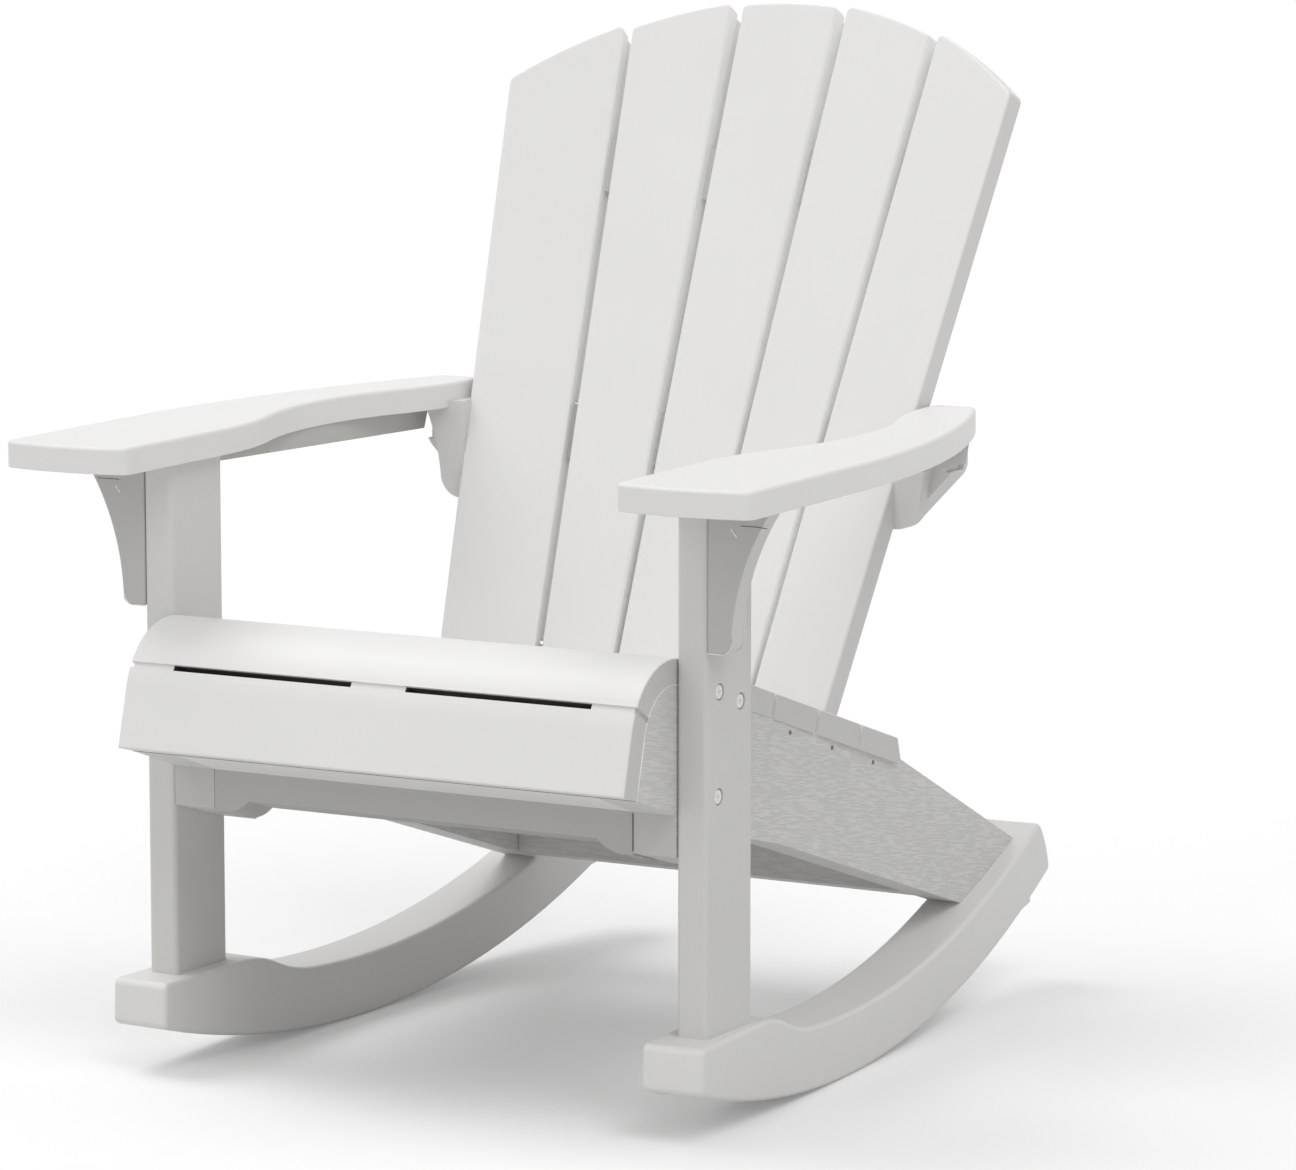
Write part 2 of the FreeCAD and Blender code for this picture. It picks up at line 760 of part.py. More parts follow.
def arm_frame():
    """The armrests rise a little towards the rear, from the top of the legs' front faces."""
    rise = Rotation(Vector(1, 0, 0), size("arm_rise"))
    return HOME * Placement(Vector(0, 0, size("leg_height")), rise)


def arm_top_edge(edge):
    """Whether an edge runs round the armrest's upper face."""
    heights = [vertex.Point.z for vertex in edge.Vertexes]
    return min(heights) > size("arm_thick") - 1e-6


def arm_corner_edge(edge):
    """Whether an edge is one of the armrest's four upright corners."""
    middle = edge.CenterOfMass
    front = -size("arm_reach") + size("arm_bow")
    corners = [
        (size("arm_inner"), front),
        (size("arm_outer"), front),
        (size("arm_rear_outer"), size("arm_rear")),
        (size("arm_inner"), size("arm_rear")),
    ]
    return any(math.hypot(middle.x - x, middle.y - y) < 1e-3 for x, y in corners)


armrest = prism("armrest", "XY_Plane", arm_path(), "Sizes.arm_thick")
soften(armrest, "Sizes.arm_corner", arm_corner_edge)
soften(armrest, "Sizes.arm_edge", arm_top_edge)
armrest.Placement = arm_frame()
keep("armrest_right", armrest)
keep("armrest_left", mirrored("armrest_mirror", armrest))


rib_path = [
    (size("leg_depth"), size("leg_height") - size("rib_front_drop")),
    (size("rib_end"), size("leg_height") - size("rib_rear_drop") + size("rib_end") * ARM_SLOPE),
    (size("rib_end") + size("rib_rear_drop") / 2, size("leg_height") + size("arm_thick") / 2),
    (size("leg_depth"), size("leg_height") + size("arm_thick") / 2),
]
rib = prism("rib", "YZ_Plane", rib_path, "Sizes.rib_thick", reverse=True)
rib.Placement = HOME * Placement(Vector(size("rib_outer"), 0, 0), Rotation())


# Front legs, with a recess for each screw head and a hole for its shank.

leg_path = [
    (LEG_INNER, 0.0),
    (LEG_OUTER, 0.0),
    (LEG_OUTER, size("leg_depth")),
    (LEG_INNER, size("leg_depth")),
]
leg_blank = prism("leg", "XY_Plane", leg_path, "Sizes.leg_height + Sizes.arm_thick / 2")
soften(leg_blank, "Sizes.leg_edge", lambda edge: edge.BoundBox.ZLength > size("leg_height") / 2)
leg_blank.Placement = HOME

sideways = Rotation(Vector(0, 1, 0), -90)
leg_cutters = []
screws = []
for number, (behind, height) in enumerate(SCREWS):
    face = HOME * Placement(Vector(LEG_OUTER, behind, height), sideways)
    recess = cylinder("recess_%d" % number, "Sizes.screw_recess / 2", "Sizes.screw_recess_depth", face)
    seat_of_head = face * Placement(Vector(0, 0, size("screw_recess_depth")), Rotation())
    bore = cylinder("bore_%d" % number, "Sizes.screw_shank / 2", "Sizes.leg_thick", seat_of_head)
    leg_cutters += [recess, bore]
    head_place = face * Placement(
        Vector(0, 0, size("screw_recess_depth") - size("screw_head_height")), Rotation())
    head = cylinder("head_%d" % number, "Sizes.screw_head / 2", "Sizes.screw_head_height", head_place)
    shank = cylinder("shank_%d" % number, "Sizes.screw_shank / 2",
                     "Sizes.leg_thick - Sizes.screw_recess_depth", seat_of_head)
    whole = fuse("screw_%d_solid" % number, head, shank)
    arms = []
    for turn in (0, 90):
        arm = box("cross_%d_%d" % (number, turn), "Sizes.screw_cross_length", "Sizes.screw_cross",
                  "Sizes.screw_cross_depth * 2", Vector())
        arm.Placement = head_place * Placement(Vector(), Rotation(Vector(0, 0, 1), turn)) * Placement(
            Vector(-size("screw_cross_length") / 2, -size("screw_cross") / 2, -size("screw_cross_depth")),
            Rotation())
        arms.append(arm)
    screws.append(cut("screw_%d" % number, whole, *arms))
leg = cut("leg_fitted", leg_blank, armrest, *(leg_cutters + bolt_cutters))
keep("front_leg_right", leg)
keep("front_leg_left", mirrored("leg_mirror", leg))
leg_screws = gather("leg_screws", *screws)
keep("leg_screws_right", leg_screws)
keep("leg_screws_left", mirrored("leg_screws_mirror", leg_screws))

rib_fitted = cut("rib_fitted", rib, leg_blank, armrest)
keep("arm_rib_right", rib_fitted)
keep("arm_rib_left", mirrored("rib_mirror", rib_fitted))

panel = cut("panel_fitted", panel_joined, leg_blank, seat)
keep("side_panel_right", panel)
keep("side_panel_left", mirrored("panel_mirror", panel))


# Gussets: curved brackets from the outside of the legs to the underside of the armrests.

gusset_low = (LEG_OUTER + size("gusset_waist"), size("gusset_bottom") + size("gusset_round"))
gusset_foot = (gusset_low[0] - size("gusset_round"), size("gusset_bottom"))
gusset_centre = (gusset_foot[0], gusset_low[1])
gusset_high = (LEG_OUTER + size("gusset_reach"), size("leg_height") + size("leg_edge"))
gusset_path = [
    (LEG_OUTER, size("gusset_bottom")),
    gusset_foot,
    (arc_middle(gusset_centre, size("gusset_round"), gusset_foot, gusset_low), gusset_low),
    ((LEG_OUTER + size("gusset_hollow"), size("leg_height") - size("gusset_hollow_drop")), gusset_high),
    (LEG_OUTER, size("leg_height") + size("leg_edge")),
]
gusset_blank = prism("gusset", "XZ_Plane", gusset_path, "Sizes.gusset_depth", reverse=True)
gusset_blank.Placement = HOME
gusset = cut("gusset_fitted", gusset_blank, armrest, leg_blank)
keep("arm_gusset_right", gusset)
keep("arm_gusset_left", mirrored("gusset_mirror", gusset))


# Front cross-bar: an arched web between the side panels and a lip under the crest.

arch = size("bar_arch_half")
foot_inner = arch + size("bar_arch_run")
arch_rise = size("bar_arch_height") - size("bar_foot_bottom")
ease_out = arch + size("bar_arch_run") * ARCH_EASE[0]
ease_up = size("bar_foot_bottom") + arch_rise * ARCH_EASE[1]
web_path = [
    (-PANEL_INNER, size("bar_top")),
    (-PANEL_INNER, size("bar_foot_bottom")),
    (-foot_inner, size("bar_foot_bottom")),
    ((-ease_out, ease_up), (-arch, size("bar_arch_height"))),
    (arch, size("bar_arch_height")),
    ((ease_out, ease_up), (foot_inner, size("bar_foot_bottom"))),
    (PANEL_INNER, size("bar_foot_bottom")),
    (PANEL_INNER, size("bar_top")),
]
web_wire = []
here = web_path[0]
for step in web_path[1:] + [web_path[0]]:
    if isinstance(step[0], tuple):
        web_wire.append(Part.Arc(Vector(here[0], 0, here[1]), Vector(step[0][0], 0, step[0][1]),
                                 Vector(step[1][0], 0, step[1][1])).toShape())
        here = step[1]
    else:
        web_wire.append(Part.LineSegment(Vector(here[0], 0, here[1]), Vector(step[0], 0, step[1])).toShape())
        here = step
web_face = doc.addObject("Part::Feature", "bar_web_outline")
web_face.Shape = Part.Face(Part.Wire(web_wire))
web_face.Placement = HOME
web = doc.addObject("Part::Extrusion", "bar_web")
web.Base = web_face
web.DirMode = "Custom"
web.Dir = Vector(0, 1, -belly_slope)
web.setExpression("LengthFwd", "Sizes.bar_depth / cos(Sizes.underside_slope)")
web.Solid = True
web.Reversed = False
lip_foot = low_line["apron_foot"]
lip_up = (-APRON[0] * size("lip_thick"), -APRON[1] * size("lip_thick"))
lip_path = [
    lip_foot,
    (lip_foot[0] + lip_up[0], lip_foot[1] + lip_up[1]),
    (size("lip_thick"), size("bar_top") + size("lip_thick")),
    (size("bar_depth") / 2, size("bar_top") - belly_slope * size("bar_depth") / 2),
    (size("bar_depth") / 4, size("bar_top") - belly_slope * size("bar_depth") / 4 - size("lip_thick")),
    (0.0, size("bar_top")),
]
lip = doc.addObject("PartDesign::Body", "bar_lip")
lip_sketch = outline(lip, "bar_lip_outline", "YZ_Plane", lip_path)
lip_pad = lip.newObject("PartDesign::Pad", "bar_lip_pad")
lip_pad.Profile = lip_sketch
lip_pad.setExpression("Length", "Sizes.seat_width - Sizes.panel_thick * 2")
lip_pad.Midplane = True
lip.Placement = HOME
doc.recompute()
keep("front_crossbar", fuse("crossbar", web, lip))


# Rear stretcher between the side panels' feet.

stretcher_back = size("stretcher_front") + size("stretcher_depth")
stretcher_top = size("stretcher_bottom") + size("stretcher_height")
stretcher_path = [
    (size("stretcher_front"), size("stretcher_bottom")),
    (stretcher_back, size("stretcher_bottom") - size("stretcher_depth") * belly_slope),
    (stretcher_back, stretcher_top - size("stretcher_depth") * rear_slope),
    (size("stretcher_front"), stretcher_top),
]
stretcher_blank = prism("stretcher", "YZ_Plane", stretcher_path,
                        "Sizes.seat_width - Sizes.panel_thick * 2", middle=True)
stretcher_blank.Placement = HOME
wall = size("stretcher_wall")
channel_path = [
    (size("stretcher_front") + wall, stretcher_path[0][1] + wall),
    (stretcher_back + wall, stretcher_path[1][1] + wall - wall * belly_slope),
    (stretcher_back + wall, stretcher_path[2][1] - wall - wall * rear_slope),
    (size("stretcher_front") + wall, stretcher_path[3][1] - wall * (1 + rear_slope)),
]
channel = prism("stretcher_channel", "YZ_Plane", channel_path,
                "Sizes.seat_width - Sizes.panel_thick * 2 - Sizes.stretcher_wall * 2", middle=True)
channel.Placement = HOME
keep("rear_stretcher", cut("stretcher_open", stretcher_blank, channel))


# Back: five flat tapering slats that fan out and curve round the sitter.

BACK_FRAME = HOME * Placement(
    Vector(0, size("back_y"), size("back_z")), Rotation(Vector(1, 0, 0), -size("back_recline")))


def crown(across):
    """Height of the back's round top above the reference, at a distance from its middle."""
    return size("crown_rise") - size("crown_radius") + math.sqrt(size("crown_radius") ** 2 - across ** 2)


def crossing(edge, fan):
    """Where a slat's edge line meets the round top."""
    rise = size("crown_rise")
    for _ in range(30):
        rise = crown(edge + fan * rise)
    return rise


def slat(name, side, shape):
    """One slat, drawn in the plane of its own front face and set in the back."""
    low = -size("slat_foot")
    edges = shape["edges"]
    fan = shape["fan"]
    lean = math.atan2(shape["forward"][1] - shape["forward"][0], edges[1] - edges[0])
    middle = (edges[0] + edges[1]) / 2
    middle_fan = (fan[0] + fan[1]) / 2
    forward = (shape["forward"][0] + shape["forward"][1]) / 2
    swing = math.degrees(math.atan(middle_fan))

    def flat(across, rise):
        """Place in the slat's own face, for a place in the plane of the back."""
        return (side * (across - middle - middle_fan * rise) / math.cos(lean), rise)

    tops = [crossing(edges[0], fan[0]), crossing(edges[1], fan[1])]
    ends = [edges[0] + fan[0] * tops[0], edges[1] + fan[1] * tops[1]]
    centre_across = (ends[0] + ends[1]) / 2
    head = [flat(ends[1], tops[1]), flat(ends[0], tops[0])]
    path = [
        flat(edges[0] + fan[0] * low, low),
        flat(edges[1] + fan[1] * low, low),
        head[0],
        (flat(centre_across, crown(centre_across)), head[1]),
    ]
    body = prism(name, "XZ_Plane", path, "Sizes.slat_thick", reverse=True)

    def head_edge(corner):
        """A test for the edge that runs through the slat at one corner of its head."""
        across, rise = corner
        return lambda edge: math.hypot(edge.CenterOfMass.x - across, edge.CenterOfMass.z - rise) < 1e-3

    outermost = shape is SLATS["outer"]
    soften(body, "Sizes.outer_corner" if outermost else "Sizes.slat_corner", head_edge(head[0]))
    soften(body, "Sizes.slat_corner", head_edge(head[1]))

    def front_edge(edge):
        """Whether an edge borders the slat's front face, its foot left out."""
        box_of_edge = edge.BoundBox
        return box_of_edge.YMax < 1e-6 and box_of_edge.ZMax > low + 1.0

    soften(body, "Sizes.slat_edge", front_edge)
    place = Placement(Vector(side * middle, -forward, 0), Rotation(Vector(0, 1, 0), side * swing))
    turn = Placement(Vector(), Rotation(Vector(0, 0, 1), -side * math.degrees(lean)))
    frame = BACK_FRAME * place * turn
    body.Placement = frame
    rim = size("slat_rim")
    margin = size("rib_margin")
    clear = size("batten_height") + margin
    bays = [
        (-size("lower_batten_low") + clear, -size("arm_batten_low") - margin),
        (-size("arm_batten_low") + clear, size("upper_batten_low") - margin),
        (size("upper_batten_low") + clear, tops[1] - rim * 2),
    ]
    hollows = []
    for number, (foot, head) in enumerate(bays):
        bay_path = [
            flat(edges[0] + fan[0] * foot + rim, foot),
            flat(edges[1] + fan[1] * foot - rim, foot),
            flat(edges[1] + fan[1] * head - rim, head),
            flat(edges[0] + fan[0] * head + rim, head),
        ]
        hollow = prism("%s_bay_%d" % (name, number), "XZ_Plane", bay_path, "Sizes.slat_thick", reverse=True)
        hollow.Placement = frame * Placement(Vector(0, size("slat_skin"), 0), Rotation())
        hollows.append(hollow)
    return body, hollows, frame, path


slat_blanks = [
    slat("slat_1", -1, SLATS["outer"]),
    slat("slat_2", -1, SLATS["inner"]),
    slat("slat_3", 1, SLATS["middle"]),
    slat("slat_4", 1, SLATS["inner"]),
    slat("slat_5", 1, SLATS["outer"]),
]
slat_set = gather("slat_set", *[blank for blank, hollows, frame, path in slat_blanks])


def swept_forward(name, made):
    """All the space in front of a slat, which the arm rail's brackets keep clear of."""
    blank, hollows, frame, path = made
    sweep = prism(name, "XZ_Plane", path, "Sizes.slat_thick * 6")
    sweep.Placement = frame
    return sweep


sweep_left = swept_forward("slat_1_sweep", slat_blanks[0])
sweep_right = swept_forward("slat_5_sweep", slat_blanks[-1])

# Each slat is screwed to every batten from behind, on its own middle line.
BATTEN_LOWS = [-size("lower_batten_low"), -size("arm_batten_low"), size("upper_batten_low")]
backwards = Rotation(Vector(1, 0, 0), -90)
back_screws = []
back_bores = []
for number, (blank, hollows, frame, path) in enumerate(slat_blanks, start=1):
    for level, low in enumerate(BATTEN_LOWS):
        name = "back_screw_%d_%d" % (number, level)
        rise = low + size("batten_height") / 2
        tip = frame * Placement(Vector(0, size("slat_thick") - size("back_screw_bite"), rise), backwards)
        length = "Sizes.back_screw_bite + Sizes.batten_thick - Sizes.back_screw_head_height"
        reach = size("back_screw_bite") + size("batten_thick") - size("back_screw_head_height")
        outside = tip * Placement(Vector(0, 0, reach), Rotation())
        shank = cylinder(name + "_shank", "Sizes.back_screw_shank / 2", length, tip)
        head = cylinder(name + "_head", "Sizes.back_screw_head / 2", "Sizes.back_screw_head_height", outside)
        bore = cylinder(name + "_bore", "Sizes.back_screw_shank / 2", length, tip)
        room = cylinder(name + "_room", "Sizes.back_screw_head / 2", "Sizes.batten_thick", outside)
        back_screws.append(fuse(name, shank, head))
        back_bores += [bore, room]
bore_set = gather("back_bores", *back_bores)
keep("back_screws", gather("back_screw_set", *back_screws))
for number, (blank, hollows, frame, path) in enumerate(slat_blanks, start=1):
    fitted = cut("slat_%d_fitted" % number, blank, seat_blank, bore_set, *hollows)
    keep("back_slat_%d" % number, fitted)


def back_depth(across):
    """How far the slats' back faces lie behind the reference plane of the back."""
    inner = SLATS["inner"]
    outer = SLATS["outer"]
    points = [(0.0, SLATS["middle"]["forward"][1])]
    points += list(zip(inner["edges"], inner["forward"])) + list(zip(outer["edges"], outer["forward"]))
    spans = [pair for pair in zip(points, points[1:]) if pair[0][0] <= abs(across)]
    (near, forward_near), (far, forward_far) = spans[-1]
    share = (abs(across) - near) / (far - near)
    return size("slat_thick") - forward_near - share * (forward_far - forward_near)


def batten(name, half, low):
    """A faceted strip across the slats' backs, made to overlap them and then cut to fit."""
    sink = size("slat_thick") / 5
    near_knee = (SLATS["middle"]["edges"][1] + SLATS["inner"]["edges"][0]) / 2
    far_knee = (SLATS["inner"]["edges"][1] + SLATS["outer"]["edges"][0]) / 2
    stations = [-half, -far_knee, -near_knee, near_knee, far_knee, half]
    front = [(spot, back_depth(spot) - sink) for spot in stations]
    rear = [(spot, back_depth(spot) + size("batten_thick")) for spot in reversed(stations)]
    strip = prism(name, "XY_Plane", front + rear, "Sizes.batten_height")
    strip.Placement = BACK_FRAME * Placement(Vector(0, 0, low), Rotation())
    return strip


upper_strip = batten("upper_strip", size("upper_batten_half"), size("upper_batten_low"))
keep("upper_batten", cut("upper_batten_fitted", upper_strip, slat_set, bore_set))
lower_strip = batten("lower_strip", size("lower_batten_half"), -size("lower_batten_low"))
keep("lower_batten", cut("lower_batten_fitted", lower_strip, slat_set, seat_blank, bore_set))

# Arm rail: the middle batten, whose ends are brackets that carry the armrests' rear ends.

arm_strip = batten("arm_strip", size("bracket_inner") + size("strip_lap"), -size("arm_batten_low"))
bracket_top = size("leg_height") + size("arm_thick") / 2
bracket_corner = (size("bracket_inner"), size("bracket_bottom"))


def from_corner(place):
    """A place on a bracket's outline, from its distances to the bracket's inner lower corner."""
    if isinstance(place[0], tuple):
        return (from_corner(place[0]), from_corner(place[1]))
    return (bracket_corner[0] + place[0], bracket_corner[1] + place[1])


# The front plate flares up to the armrest in a hollow curve, as the front gussets do.
plate_path = [from_corner(place) for place in PLATE_EDGE]
plate_path.append((from_corner(PLATE_FLARE), (size("bracket_reach"), bracket_top)))
plate_path.append((bracket_corner[0], bracket_top))
plate = prism("bracket_front_plate", "XZ_Plane", plate_path, "Sizes.bracket_plate", reverse=True)
plate.Placement = HOME * Placement(Vector(0, size("bracket_front"), 0), Rotation())

# The block behind it is cut off on a slant below and hollowed under the armrest.
block_path = [from_corner(place) for place in BLOCK_EDGE]
block_path.append((block_path[-1][1][0], bracket_top))
block_path.append((bracket_corner[0], bracket_top))
block = prism("bracket_block", "XZ_Plane", block_path,
              "Sizes.bracket_rear - Sizes.bracket_front - Sizes.bracket_plate", reverse=True)
block.Placement = HOME * Placement(Vector(0, size("bracket_front") + size("bracket_plate"), 0), Rotation())
pocket_path = [
    (size("bracket_reach"), bracket_corner[1] + size("pocket_low")),
    (size("bracket_reach") + size("pocket_out"), bracket_corner[1] + size("pocket_high")),
    (size("bracket_reach") + size("pocket_out"), bracket_top),
    (size("bracket_reach"), bracket_top),
]
pocket = prism("bracket_pocket", "XZ_Plane", pocket_path,
               "Sizes.bracket_rear - Sizes.bracket_front - Sizes.bracket_plate - Sizes.bracket_wall",
               reverse=True)
pocket.Placement = block.Placement
bracket = cut("bracket", fuse("bracket_solid", plate, block), pocket)
bracket_left = mirrored("bracket_mirror", bracket)
arm_rail_blank = fuse("arm_rail_blank", arm_strip, bracket, bracket_left)
left_rib = parts["arm_rib_left"]
left_arm = parts["armrest_left"]
arm_rail = cut("arm_rail_fitted", arm_rail_blank, slat_set, bore_set, sweep_left, sweep_right,
               rib_fitted, left_rib, armrest, left_arm)
keep("arm_rail", arm_rail)


# Check every piece, then write one file for each.

doc.recompute()
for item in doc.Objects:
    if "Invalid" in item.State or "Error" in item.State:
        raise RuntimeError("%s did not compute: %s" % (item.Name, item.State))
for label, piece in parts.items():
    shape = piece.Shape
    if shape.isNull() or not shape.isValid() or not shape.Solids:
        raise RuntimeError("%s has no valid solid" % label)

os.makedirs("parts", exist_ok=True)
for label, piece in parts.items():
    piece.Shape.exportStep(os.path.join("parts", label + ".step"))
    volume = sum(solid.Volume for solid in piece.Shape.Solids)
    print("%-20s %2d solids %10.1f cm3" % (label, len(piece.Shape.Solids), volume / 1000))

whole = Part.makeCompound([piece.Shape for piece in parts.values()])
reach = whole.optimalBoundingBox(False)
print("X %.1f %.1f  Y %.1f %.1f  Z %.1f %.1f" % (
    reach.XMin, reach.XMax, reach.YMin, reach.YMax, reach.ZMin, reach.ZMax))
total = sum(solid.Volume for piece in parts.values() for solid in piece.Shape.Solids)
balance = Vector()
for piece in parts.values():
    for solid in piece.Shape.Solids:
        balance += solid.CenterOfMass * (solid.Volume / total)
print("balance point %.1f %.1f %.1f, behind the leg's front %.1f" % (
    balance.x, balance.y, balance.z, balance.y - HOME.Base.y))
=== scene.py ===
"""Looks of a moulded resin rocking adirondack chair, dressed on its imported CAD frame.

The chair faces -Y, +X is the right of someone looking at its front, +Z is up, and the floor is
at Z = 0, as in the CAD model. Lengths are in metres, except where a note says millimetres.
"""

from __future__ import annotations

import json
import logging
import math
from abc import ABC, abstractmethod
from collections.abc import Callable
from dataclasses import dataclass
from enum import Enum

import bmesh
import bpy
from mathutils import Euler, Matrix, Vector
from mathutils.bvhtree import BVHTree

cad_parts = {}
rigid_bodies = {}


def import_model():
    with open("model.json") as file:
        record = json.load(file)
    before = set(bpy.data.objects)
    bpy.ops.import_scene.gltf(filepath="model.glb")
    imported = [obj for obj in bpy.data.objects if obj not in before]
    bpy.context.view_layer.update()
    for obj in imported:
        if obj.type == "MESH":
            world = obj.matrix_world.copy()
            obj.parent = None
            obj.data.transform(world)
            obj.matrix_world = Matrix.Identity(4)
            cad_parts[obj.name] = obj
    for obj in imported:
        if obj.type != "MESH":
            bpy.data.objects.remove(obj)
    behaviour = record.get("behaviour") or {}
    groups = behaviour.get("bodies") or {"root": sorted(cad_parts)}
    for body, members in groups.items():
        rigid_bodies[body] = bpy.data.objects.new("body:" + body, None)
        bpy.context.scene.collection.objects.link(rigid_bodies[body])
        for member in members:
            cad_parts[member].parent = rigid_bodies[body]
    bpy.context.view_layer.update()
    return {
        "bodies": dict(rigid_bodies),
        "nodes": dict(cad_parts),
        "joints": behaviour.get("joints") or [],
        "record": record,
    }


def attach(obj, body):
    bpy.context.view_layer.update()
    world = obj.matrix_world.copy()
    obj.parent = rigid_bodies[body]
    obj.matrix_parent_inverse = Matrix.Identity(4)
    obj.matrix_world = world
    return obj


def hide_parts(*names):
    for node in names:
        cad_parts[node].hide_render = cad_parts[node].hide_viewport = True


LOG = logging.getLogger("rocking_chair")
ROOT_BODY = "root"
MM = 0.001
WELD_REACH = 0.02 * MM
FLAT_ANGLE = math.radians(0.5)
SHARP_ANGLE = math.radians(20.0)
SHADING_WEIGHT = 60

NodeTree = bpy.types.NodeTree
Socket = bpy.types.NodeSocket
Triple = tuple[float, float, float]
Colour = tuple[float, float, float, float]


class Side(Enum):
    """The two sides of the chair, as seen by someone looking at its front."""

    RIGHT = "right"
    LEFT = "left"

    @property
    def sign(self) -> int:
        """Sign of X on this side."""
        return 1 if self is Side.RIGHT else -1


class Relief(Enum):
    """The textures that the chair's moulds carry."""

    SATIN = "satin"
    STIPPLE = "stipple"
    GRAIN = "grain"


def linear(tone: float) -> float:
    """Linear value of an sRGB tone from 0 to 255."""
    share = tone / 255
    return share / 12.92 if share <= 0.04045 else ((share + 0.055) / 1.055) ** 2.4


def colour(red: float, green: float, blue: float) -> Colour:
    """Linear RGBA of an sRGB colour with channels from 0 to 255."""
    return (linear(red), linear(green), linear(blue), 1.0)


def grey(value: float) -> Colour:
    """Linear RGBA of a grey."""
    return (value, value, value, 1.0)


# Shader nodes


def new_group(name: str, inputs: dict[str, tuple[str, float]], outputs: dict[str, str]) -> NodeTree:
    """Make an empty shader node group with named sockets.

    Args:
        name: The group's name.
        inputs: Socket type and default for each input. A vector's default is ignored.
        outputs: Socket type for each output.

    Returns:
        The node tree, with its Group Input and Group Output nodes in it.
    """
    tree = bpy.data.node_groups.new(name, "ShaderNodeTree")
    for label, (kind, default) in inputs.items():
        socket = tree.interface.new_socket(label, in_out="INPUT", socket_type=kind)
        if kind == "NodeSocketFloat":
            socket.default_value = default
    for label, kind in outputs.items():
        tree.interface.new_socket(label, in_out="OUTPUT", socket_type=kind)
    tree.nodes.new("NodeGroupInput").name = "Input"
    tree.nodes.new("NodeGroupOutput").name = "Output"
    return tree


def use_group(tree: NodeTree, group: NodeTree) -> bpy.types.Node:
    """Add a node that runs a node group."""
    node = tree.nodes.new("ShaderNodeGroup")
    node.node_tree = group
    return node


def feed(tree: NodeTree, value: object, slot: Socket) -> None:
    """Link a socket to another one, or set a constant on it."""
    if isinstance(value, Socket):
        tree.links.new(value, slot)
    else:
        slot.default_value = value


def math_node(tree: NodeTree, operation: str, first: object, second: object) -> Socket:
    """Add a Math node and give its result.

    Args:
        tree: The tree that takes the node.
        operation: Blender's name of the operation.
        first: A socket or a number.
        second: A socket or a number.

    Returns:
        The node's output socket.
    """
    node = tree.nodes.new("ShaderNodeMath")
    node.operation = operation
    for slot, value in zip(node.inputs, (first, second)):
        feed(tree, value, slot)
    return node.outputs[0]


def colour_mix(tree: NodeTree, factor: Socket, first: object, second: object, blend: str = "MIX") -> Socket:
    """Add a Mix node for colours and give its result.

    Args:
        tree: The tree that takes the node.
        factor: Share of the second colour.
        first: A socket or a colour.
        second: A socket or a colour.
        blend: Blender's name of the way they mix.

    Returns:
        The mixed colour's socket.
    """
    node = tree.nodes.new("ShaderNodeMix")
    node.data_type = "RGBA"
    node.blend_type = blend
    tree.links.new(factor, node.inputs["Factor"])
    feed(tree, first, node.inputs["A"])
    feed(tree, second, node.inputs["B"])
    return node.outputs["Result"]


def smooth_step(tree: NodeTree, value: Socket, low: object, high: object) -> Socket:
    """Ramp a value smoothly from 0 to 1.

    Args:
        tree: The tree that takes the node.
        value: The value's socket.
        low: Socket or number below which the result is 0.
        high: Socket or number above which the result is 1.

    Returns:
        The result's socket.
    """
    node = tree.nodes.new("ShaderNodeMapRange")
    node.interpolation_type = "SMOOTHSTEP"
    tree.links.new(value, node.inputs["Value"])
    feed(tree, low, node.inputs["From Min"])
    feed(tree, high, node.inputs["From Max"])
    return node.outputs[0]


def noise(tree: NodeTree, vector: Socket, scale: object, detail: float,
          roughness: float = 0.5, distortion: float = 0.0) -> Socket:
    """Add a noise texture and give its value.

    Args:
        tree: The tree that takes the node.
        vector: Where the texture is read.
        scale: A socket or a number.
        detail: Octaves of the noise.
        roughness: How strong the fine octaves are.
        distortion: How far the noise is warped.

    Returns:
        The factor socket, from 0 to 1.
    """
    node = tree.nodes.new("ShaderNodeTexNoise")
    tree.links.new(vector, node.inputs["Vector"])
    feed(tree, scale, node.inputs["Scale"])
    node.inputs["Detail"].default_value = detail
    node.inputs["Roughness"].default_value = roughness
    node.inputs["Distortion"].default_value = distortion
    return node.outputs[0]


def stretched(tree: NodeTree, vector: Socket, scale: Triple) -> Socket:
    """Scale a vector unevenly, so that a texture read there is drawn out.

    Args:
        tree: The tree that takes the node.
        vector: The vector to scale.
        scale: Factor along each axis.

    Returns:
        The scaled vector's socket.
    """
    node = tree.nodes.new("ShaderNodeMapping")
    tree.links.new(vector, node.inputs["Vector"])
    node.inputs["Scale"].default_value = scale
    return node.outputs[0]


